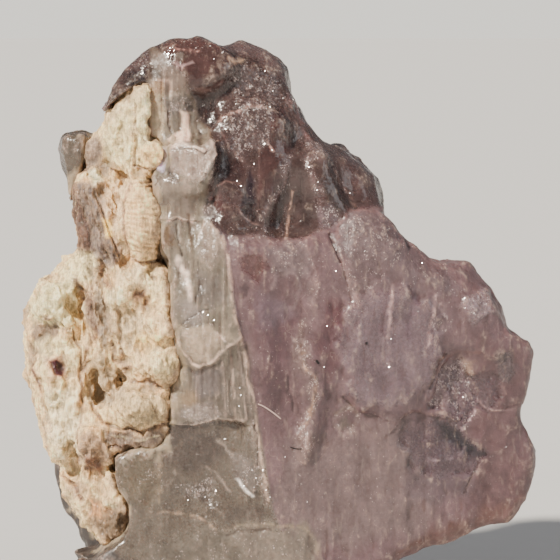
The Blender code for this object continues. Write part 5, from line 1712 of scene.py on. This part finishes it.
@dataclass
class FeldsparCrust:
    """The feldspar that grew on the left of the quartz: lumps, blades, fibres and pits.

    Attributes:
        grid_mm: spacing of the first mesh, twice that of the last one.
        softening: rounds of softening of the first mesh, and how much normals may differ in it.
        triangles: how many triangles are kept.
        seam_mm: how far it swells into its seam with the quartz.
        seam_reach_mm: width of the strip along the seam that swells.
        blend_reach_mm: width of the strip along the seam that is coloured like the quartz.
        bend_mm: how far the bosses and the flakes are bent.
        lumps, bosses, rough, flakes, chips: its forms, from the largest to the smallest.
        lump_mm: height of the forms, of which each has its own share in shares.
        fibres: fibres that lean by fibre_lean degrees and are fibre_mm high.
        rib_mm: distance from rib to rib on the barrel, and rib_height_mm their height.
        rib_slope: how much the ribs rise to the left, for each millimetre.
        rib_waves: waves that bend the ribs by rib_bend, and make them stronger or weaker than
            rib_strength.
        barrel_smoothness: share of the other forms that the barrel loses.
        raised: share of its height that a raised mark keeps.
        ground, yellow, dusk, seam: display colours under the marks, of yellow and dusky patches
            and of the strip along the seam.
        traits: clearness, sparkle and roughness under the marks.
        dim: mean red, green and blue of a surface that is shown right as it is.
        lift: power by which a lighter surface's red, green and blue are raised.
        palest: lightest surface colour.
        fine_edge, broad_edge: rounds of averaging and reach in millimetres that tell hollows
        from edges, of small forms and of large ones; by them the finish paints shade into the
        hollows and light onto the edges.
        edge_angle: from which angle on edges stay sharp, in degrees.
    """

    grid_mm: float = 0.24
    softening: tuple[int, float] = (6, 0.6)
    triangles: int = 190_000
    seam_mm: float = 0.45
    seam_reach_mm: float = 1.5
    blend_reach_mm: float = 1.0
    bend_mm: float = 0.30
    lumps: Waves = Waves((1.5, 1.5, 2.0), 41, 2)
    bosses: Shells = Shells((2.2, 2.0, 2.9), 45, 2.0)
    rough: Waves = Waves((0.8, 0.8, 1.2), 43, 4)
    flakes: Shells = Shells((0.75, 0.7, 1.1), 46, 2.4)
    chips: Shells = Shells((0.40, 0.38, 0.55), 47, 2.4)
    shares: tuple[float, ...] = (0.6, -0.9, 1.3, 0.8, 0.5)
    lump_mm: float = 0.34
    fibres: Waves = Waves((0.42, 1.4, 3.2), 42, 3)
    fibre_lean: float = 14.0
    fibre_mm: float = 0.15
    rib_mm: float = 0.46
    rib_height_mm: float = 0.075
    rib_slope: float = 0.22
    rib_waves: Waves = Waves((1.6, 1.6, 1.2), 44, 3)
    rib_bend: float = 6.0
    rib_strength: float = 0.8
    barrel_smoothness: float = 0.7
    raised: float = 0.35
    ground: Colour = (216, 197, 174)
    yellow: Colour = (222, 194, 142)
    dusk: Colour = (160, 146, 124)
    seam: Colour = (172, 154, 128)
    traits: tuple[float, float, float] = (0.0, 0.2, 0.6)
    cloudy: Waves = Waves((1.6, 1.6, 2.2), 51, 3)
    cloud_gain: float = 0.25
    yellow_waves: Waves = Waves((1.1, 1.1, 1.4), 52, 3)
    yellowed: Ramp = Ramp(0.12, 0.52, 0.0, 0.35)
    dusk_waves: Waves = Waves((2.6, 2.6, 3.4), 53, 3)
    dusky: Ramp = Ramp(0.05, 0.40, 0.0, 0.6)
    patchy: Waves = Waves((0.8, 0.8, 1.0), 54, 3)
    patch_share: float = 1.1
    blended: Ramp = Ramp(0.35, 0.70, 0.0, 0.55)
    dim: float = 0.14
    lift: tuple[float, float, float] = (0.0, 0.22, 0.13)
    palest: float = 0.98
    fine_edge: tuple[int, float] = (6, 0.06)
    broad_edge: tuple[int, float] = (60, 0.35)
    edge_angle: float = 40.0

    def build(self) -> bpy.types.Object:
        """Make the crust in place of its CAD node."""
        obj = fine_copy("feldspar_crust", "feldspar_growth", self.grid_mm, *self.softening)
        self.carve(Surface(obj))
        thin(obj, self.triangles)
        surface = Surface(obj)
        edge = (edge_share(surface, *self.fine_edge) + edge_share(surface, *self.broad_edge)) / 2.0
        write_looks(obj, self.looks(surface), edge)
        finish_piece(obj, "feldspar_crust", FeldsparFinish().make(), self.edge_angle)
        return obj

    def fibre_heights(self, places: Array) -> Array:
        """Heights of fibres that lean to the left as they rise."""
        lean = math.radians(self.fibre_lean)
        x, y, z = places.T
        turned = (x * math.cos(lean) + z * math.sin(lean), y, z * math.cos(lean) - x * math.sin(lean))
        return self.fibres.at(np.stack(turned, axis=1)) * self.fibre_mm

    def rib_heights(self, places: Array) -> Array:
        """Heights of the ribs that run across the barrel."""
        x, _, z = places.T
        bend = self.rib_waves.at(places)
        turn = (z + self.rib_slope * x) * math.tau / self.rib_mm + bend * self.rib_bend
        return np.sin(turn) * (self.rib_strength + bend) * self.rib_height_mm

    def carve(self, surface: Surface) -> None:
        """Give the surface its lumps, fibres, ribs and marks."""
        places = surface.places
        curved = bent(places, self.bend_mm)
        forms = (self.lumps.at(places), self.bosses.at(curved), self.rough.at(places),
                 self.flakes.at(curved), self.chips.at(places))
        heights = sum(share * form for share, form in zip(self.shares, forms)) * self.lump_mm
        heights += self.fibre_heights(places)
        barrel = next(mark for mark in CRUST_MARKS if mark.name == "barrel")
        on_barrel = covers([barrel], places)[0] * facing(surface)
        heights *= 1.0 - self.barrel_smoothness * on_barrel
        heights += self.rib_heights(places) * on_barrel
        heights += relief(surface, CRUST_MARKS, self.raised)
        heights += nearness(surface, "rose_quartz", self.seam_reach_mm) * self.seam_mm
        surface.swell(heights)
        surface.stand()

    def looks(self, surface: Surface) -> Array:
        """Colour, clearness, sparkle and roughness of each vertex."""
        places = surface.places
        count = len(places)
        colour = np.tile(tint(self.ground), (count, 1))
        colour *= (1.0 + self.cloud_gain * self.cloudy.at(places))[:, None]
        blend(colour, tint(self.yellow), self.yellowed.at(self.yellow_waves.at(places)))
        blend(colour, tint(self.dusk), self.dusky.at(self.dusk_waves.at(places)))
        start = np.column_stack([colour, np.tile(self.traits, (count, 1))])
        looks = paint(surface, CRUST_MARKS, start)
        colours = looks[:, :3]
        near = nearness(surface, "rose_quartz", self.blend_reach_mm)
        share = self.blended.at(near + self.patchy.at(places) * self.patch_share)
        blend(colours, tint(self.seam), share * (near > 0.0))
        colours *= (colours.mean(axis=1)[:, None] / self.dim) ** np.array(self.lift)
        np.minimum(colours, self.palest, out=colours)
        return looks


# Direction from the specimen to the main lamp.
KEY_TOWARD = Vector((-0.52, -0.56, 0.64)).normalized()


class Front:
    """The front of finished pieces, on which small things are placed by photo pixels."""

    def __init__(self, pieces: list[bpy.types.Object]) -> None:
        """Read the pieces' meshes."""
        corners: list[Vector] = []
        faces: list[tuple[int, ...]] = []
        for piece in pieces:
            first = len(corners)
            corners += [vertex.co.copy() for vertex in piece.data.vertices]
            faces += [tuple(first + i for i in face.vertices) for face in piece.data.polygons]
        self.tree = BVHTree.FromPolygons(corners, faces)

    def hit(self, pixel: Array) -> tuple[Vector, Vector]:
        """Place on the front that a photo pixel shows, and the surface's normal there.

        Args:
            pixel: pixel to the right and pixel down.

        Returns:
            The place in metres and the normal.
        """
        place, normal, _, _ = self.tree.ray_cast(CAMERA.place, CAMERA.ray(pixel))
        if place is None:
            raise ValueError(f"nothing is seen at the pixel {pixel}")
        return place, normal


@dataclass(frozen=True)
class Thread:
    """A fibre or a hair that lies on the front.

    Attributes:
        name: what it is.
        path: corners in photo pixels.
        width_mm: its thickness.
        colour: display colour.
        rough: roughness from 0 to 1.
        steps: how many places it has from corner to corner.
        sides: how many sides it has.
        lift: how far its middle is in front of the surface, as a share of its radius.
        tip: thickness of its ends, as a share of its thickness.
        shade: how bright its darker places are, as a share of its colour.
        grain_mm: size of these places.
        edge_angle: from which angle on its edges stay sharp, in degrees.
    """

    name: str
    path: Path
    width_mm: float
    colour: Colour
    rough: float
    steps: int = 8
    sides: int = 8
    lift: float = 0.6
    tip: float = 0.45
    shade: float = 0.8
    grain_mm: Size = (0.15, 0.15, 0.15)
    edge_angle: float = 60.0

    def build(self, front: Front) -> bpy.types.Object:
        """Make the thread so that it lies on the front."""
        obj = object_from(self.name, self.tube(self.middles(front)))
        obj.data.materials.append(self.finish())
        shade_smooth(obj, self.edge_angle)
        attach(obj, "root")
        return obj

    def middles(self, front: Front) -> list[Vector]:
        """Middle of the thread at each of its places, on a smooth way over the front."""
        corners = pixels_of(self.path)
        at = np.linspace(0.0, len(corners) - 1.0, self.steps * (len(corners) - 1) + 1)
        pixels = np.column_stack([np.interp(at, range(len(corners)), axis) for axis in corners.T])
        for _ in range(self.steps // 2):
            pixels[1:-1] = (pixels[:-2] + pixels[2:]) / 2.0
        depth = np.array([(front.hit(pixel)[0] - CAMERA.place).length for pixel in pixels])
        for _ in range(self.steps):
            smooth = depth.copy()
            smooth[1:-1] = (depth[:-2] + depth[2:]) / 2.0
            depth = np.minimum(depth, smooth)
        depth = depth - self.lift * self.width_mm * MM / 2.0
        return [CAMERA.place + CAMERA.ray(pixel) * length for pixel, length in zip(pixels, depth)]

    def tube(self, middles: list[Vector]) -> bmesh.types.BMesh:
        """Closed tube along places, thinner at its ends."""
        bm = bmesh.new()
        rings = []
        last = len(middles) - 1
        turns = [math.tau * k / self.sides for k in range(self.sides)]
        for i, middle in enumerate(middles):
            along = (middles[min(i + 1, last)] - middles[max(i - 1, 0)]).normalized()
            side = along.cross(CAMERA.toward).normalized()
            rise = side.cross(along)
            size = self.width_mm * MM / 2.0 * (self.tip if i in (0, last) else 1.0)
            rings.append([bm.verts.new(middle + size * (side * math.cos(turn) + rise * math.sin(turn)))
                          for turn in turns])
        for lower, upper in zip(rings, rings[1:]):
            for k in range(self.sides):
                nearby = (k + 1) % self.sides
                bm.faces.new((lower[k], lower[nearby], upper[nearby], upper[k]))
        bm.faces.new(rings[0][::-1])
        bm.faces.new(rings[-1])
        bmesh.ops.recalc_face_normals(bm, faces=bm.faces)
        return bm

    def finish(self) -> bpy.types.Material:
        """Make the thread's material, a little uneven along its length."""
        nodes = Nodes(f"{self.name}_finish")
        body = tint(self.colour)
        colour = nodes.mix(nodes.noise(self.grain_mm), (*body, 1.0), (*(body * self.shade), 1.0))
        nodes.set(Base_Color=colour, Roughness=self.rough)
        return nodes.material


@dataclass(frozen=True)
class Glints:
    """Tiny flat crystals on the quartz that mirror the main lamp.

    Attributes:
        pixels: photo pixels that show them.
        smallest_mm: radius of the smallest one.
        largest_mm: radius of the largest one.
        seed: which set of sizes and turns they have.
        sides: how many sides each one has.
        wobble: how far they lean away from mirroring the lamp.
        narrowest: least distance of a corner, as a share of the radius.
        lift: how far the flat face is above the quartz, as a share of the radius.
        pale: display colour of their lighter places.
        dull: display colour of their darker places.
        grain_mm: size of these places.
        rough: roughness from 0 to 1.
        ior: refractive index of quartz.
    """

    pixels: Path = (
        "327,326 336,271 252,470 256,478 262,484 266,490 270,497 184,42 196,48 210,46 222,53 214,59 265,71 "
        "273,91 283,98 270,107 203,312 208,315 214,320 240,388 241,395 184,485 196,489 205,497 217,505 "
        "293,100 297,108 435,391 459,393 422,263 506,447 254,164 318,182 317,190 350,193 240,480 242,483 "
        "244,486 246,489 248,492 250,494 239,406 324,367 391,339 389,367 225,439 195,526 206,517 307,502 "
        "285,457 274,548 465,308 474,313 486,304 463,397 465,429 472,416 365,251 173,46 223,52 237,181 "
        "241,186 309,167 272,150 188,500 216,491 181,485 254,487 258,452 263,470")
    smallest_mm: float = 0.03
    largest_mm: float = 0.085
    seed: int = 7
    sides: int = 6
    wobble: float = 0.012
    narrowest: float = 0.7
    lift: float = 0.25
    pale: Colour = (196, 184, 178)
    dull: Colour = (160, 146, 142)
    grain_mm: Size = (0.1, 0.1, 0.1)
    rough: float = 0.12
    ior: float = 1.544

    def build(self, front: Front) -> bpy.types.Object:
        """Make the crystals so that they lie on the front."""
        chance = np.random.default_rng(self.seed)
        mirror = (KEY_TOWARD + CAMERA.toward).normalized()
        bm = bmesh.new()
        for pixel in pixels_of(self.pixels):
            place, _ = front.hit(pixel)
            up = (mirror + Vector(chance.normal(0.0, self.wobble, 3))).normalized()
            side = up.orthogonal().normalized()
            rise = up.cross(side)
            radius = chance.uniform(self.smallest_mm, self.largest_mm) * MM
            turns = np.arange(self.sides) * math.tau / self.sides + chance.uniform(0.0, 1.0)
            reach = chance.uniform(self.narrowest, 1.0, self.sides) * radius
            rim = [side * math.cos(turn) * far + rise * math.sin(turn) * far
                   for turn, far in zip(turns, reach)]
            top = [bm.verts.new(place + up * radius * self.lift + corner) for corner in rim]
            foot = bm.verts.new(place - up * radius)
            bm.faces.new(top)
            for k in range(self.sides):
                bm.faces.new((top[k], foot, top[(k + 1) % self.sides]))
        bmesh.ops.recalc_face_normals(bm, faces=bm.faces)
        obj = object_from("quartz_glints", bm)
        obj.data.materials.append(self.finish())
        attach(obj, "root")
        return obj

    def finish(self) -> bpy.types.Material:
        """Make the crystals' glossy pale material."""
        nodes = Nodes("glint_finish")
        pale, dull = ((*tint(colour), 1.0) for colour in (self.pale, self.dull))
        colour = nodes.mix(nodes.noise(self.grain_mm), pale, dull)
        nodes.set(Base_Color=colour, Roughness=self.rough, IOR=self.ior)
        return nodes.material


THREADS = (
    Thread("lint_fibre", "258,404 263,406 268,409 275,414 281,419", 0.12, (206, 196, 188), 0.7),
    Thread("short_hair", "290,447 296,449 302,449", 0.08, (34, 28, 26), 0.4),
    Thread("long_speck", "316,360 319,364", 0.20, (34, 22, 22), 0.5),
    Thread("round_speck", "365.6,343 367.4,343.6", 0.22, (30, 22, 22), 0.5),
)


@dataclass(frozen=True)
class Lamp:
    """A lamp of the studio, so far away that its light is even.

    Attributes:
        name: which lamp it is.
        toward: direction from the specimen to the lamp.
        strength: how bright it is, in watts for each square metre.
        spread: how wide it looks, in degrees, which softens its shadows.
        colour: linear colour of its light.
    """

    name: str
    toward: Vector
    strength: float
    spread: float
    colour: tuple[float, float, float]

    def build(self) -> bpy.types.Object:
        """Make the lamp."""
        data = bpy.data.lights.new(self.name, "SUN")
        data.energy = self.strength
        data.angle = math.radians(self.spread)
        data.color = self.colour
        obj = bpy.data.objects.new(self.name, data)
        obj.rotation_euler = (-self.toward).to_track_quat("-Z", "Y").to_euler()
        bpy.context.scene.collection.objects.link(obj)
        return obj


@dataclass
class Studio:
    """Pale floor, pale surroundings and soft lamps.

    Attributes:
        lamps: the lamps.
        floor_radius: radius of the floor in metres.
        floor_corners: how many corners its rim has.
        floor_colour: linear colour of the floor.
        floor_shade: how bright its darker places are, as a share of its colour.
        floor_grain_mm: size of these places.
        floor_rough: roughness of the floor from 0 to 1.
        sky_colour: linear colour of the surroundings overhead.
        wall_colour: linear colour of the surroundings at the horizon.
        wall_top: height of the bright wall, as the sine of its angle.
    """

    lamps: tuple[Lamp, ...] = (
        Lamp("key_lamp", KEY_TOWARD, 7.6, 4.0, (1.0, 0.91, 0.79)),
        Lamp("side_lamp", Vector((0.80, -0.45, 0.40)), 0.5, 30.0, (0.95, 0.97, 1.0)),
    )
    floor_radius: float = 40.0
    floor_corners: int = 96
    floor_colour: Paint = (0.70, 0.70, 0.69, 1.0)
    floor_shade: float = 0.96
    floor_grain_mm: Size = (3.0, 3.0, 3.0)
    floor_rough: float = 0.8
    sky_colour: Paint = (0.26, 0.26, 0.27, 1.0)
    wall_colour: Paint = (1.22, 1.17, 1.06, 1.0)
    wall_top: tuple[float, float] = (0.03, 0.22)

    def build(self) -> None:
        """Make the floor, the surroundings and the lamps."""
        bm = bmesh.new()
        bmesh.ops.create_circle(bm, cap_ends=True, segments=self.floor_corners, radius=self.floor_radius)
        floor = object_from("studio_floor", bm)
        nodes = Nodes("floor_finish")
        shade = tuple(self.floor_shade * value for value in self.floor_colour[:3]) + (1.0,)
        colour = nodes.mix(nodes.noise(self.floor_grain_mm), self.floor_colour, shade)
        nodes.set(Base_Color=colour, Roughness=self.floor_rough)
        floor.data.materials.append(nodes.material)
        bpy.context.scene.world = self.sky()
        for lamp in self.lamps:
            lamp.build()

    def sky(self) -> bpy.types.World:
        """Make the surroundings: a pale wall that fades upward into a dimmer sky."""
        world = bpy.data.worlds.new("studio_sky")
        world.use_nodes = True
        tree = world.node_tree
        place = tree.nodes.new("ShaderNodeTexCoord")
        parts = tree.nodes.new("ShaderNodeSeparateXYZ")
        fade = tree.nodes.new("ShaderNodeMapRange")
        fade.interpolation_type = "SMOOTHSTEP"
        colours = tree.nodes.new("ShaderNodeMix")
        colours.data_type = "RGBA"
        tree.links.new(place.outputs["Generated"], parts.inputs["Vector"])
        tree.links.new(parts.outputs["Z"], fade.inputs["Value"])
        fade.inputs["From Min"].default_value, fade.inputs["From Max"].default_value = self.wall_top
        sockets = {socket.identifier: socket for socket in colours.inputs}
        tree.links.new(fade.outputs["Result"], sockets["Factor_Float"])
        sockets["A_Color"].default_value = self.wall_colour
        sockets["B_Color"].default_value = self.sky_colour
        result = next(socket for socket in colours.outputs if socket.identifier == "Result_Color")
        tree.links.new(result, tree.nodes["Background"].inputs["Color"])
        return world


def main() -> None:
    """Build the specimen and its studio."""
    logging.basicConfig(level=logging.INFO, format="%(name)s: %(message)s")
    CAMERA.build()
    Studio().build()
    pieces = [assembly.build() for assembly in (QuartzStone(), FeldsparCrust())]
    front = Front(pieces)
    pieces += [small.build(front) for small in (*THREADS, Glints())]
    for piece in pieces:
        LOG.info("%s: %d triangles", piece.name, triangle_count(piece))


if __name__ == "__main__":
    main()
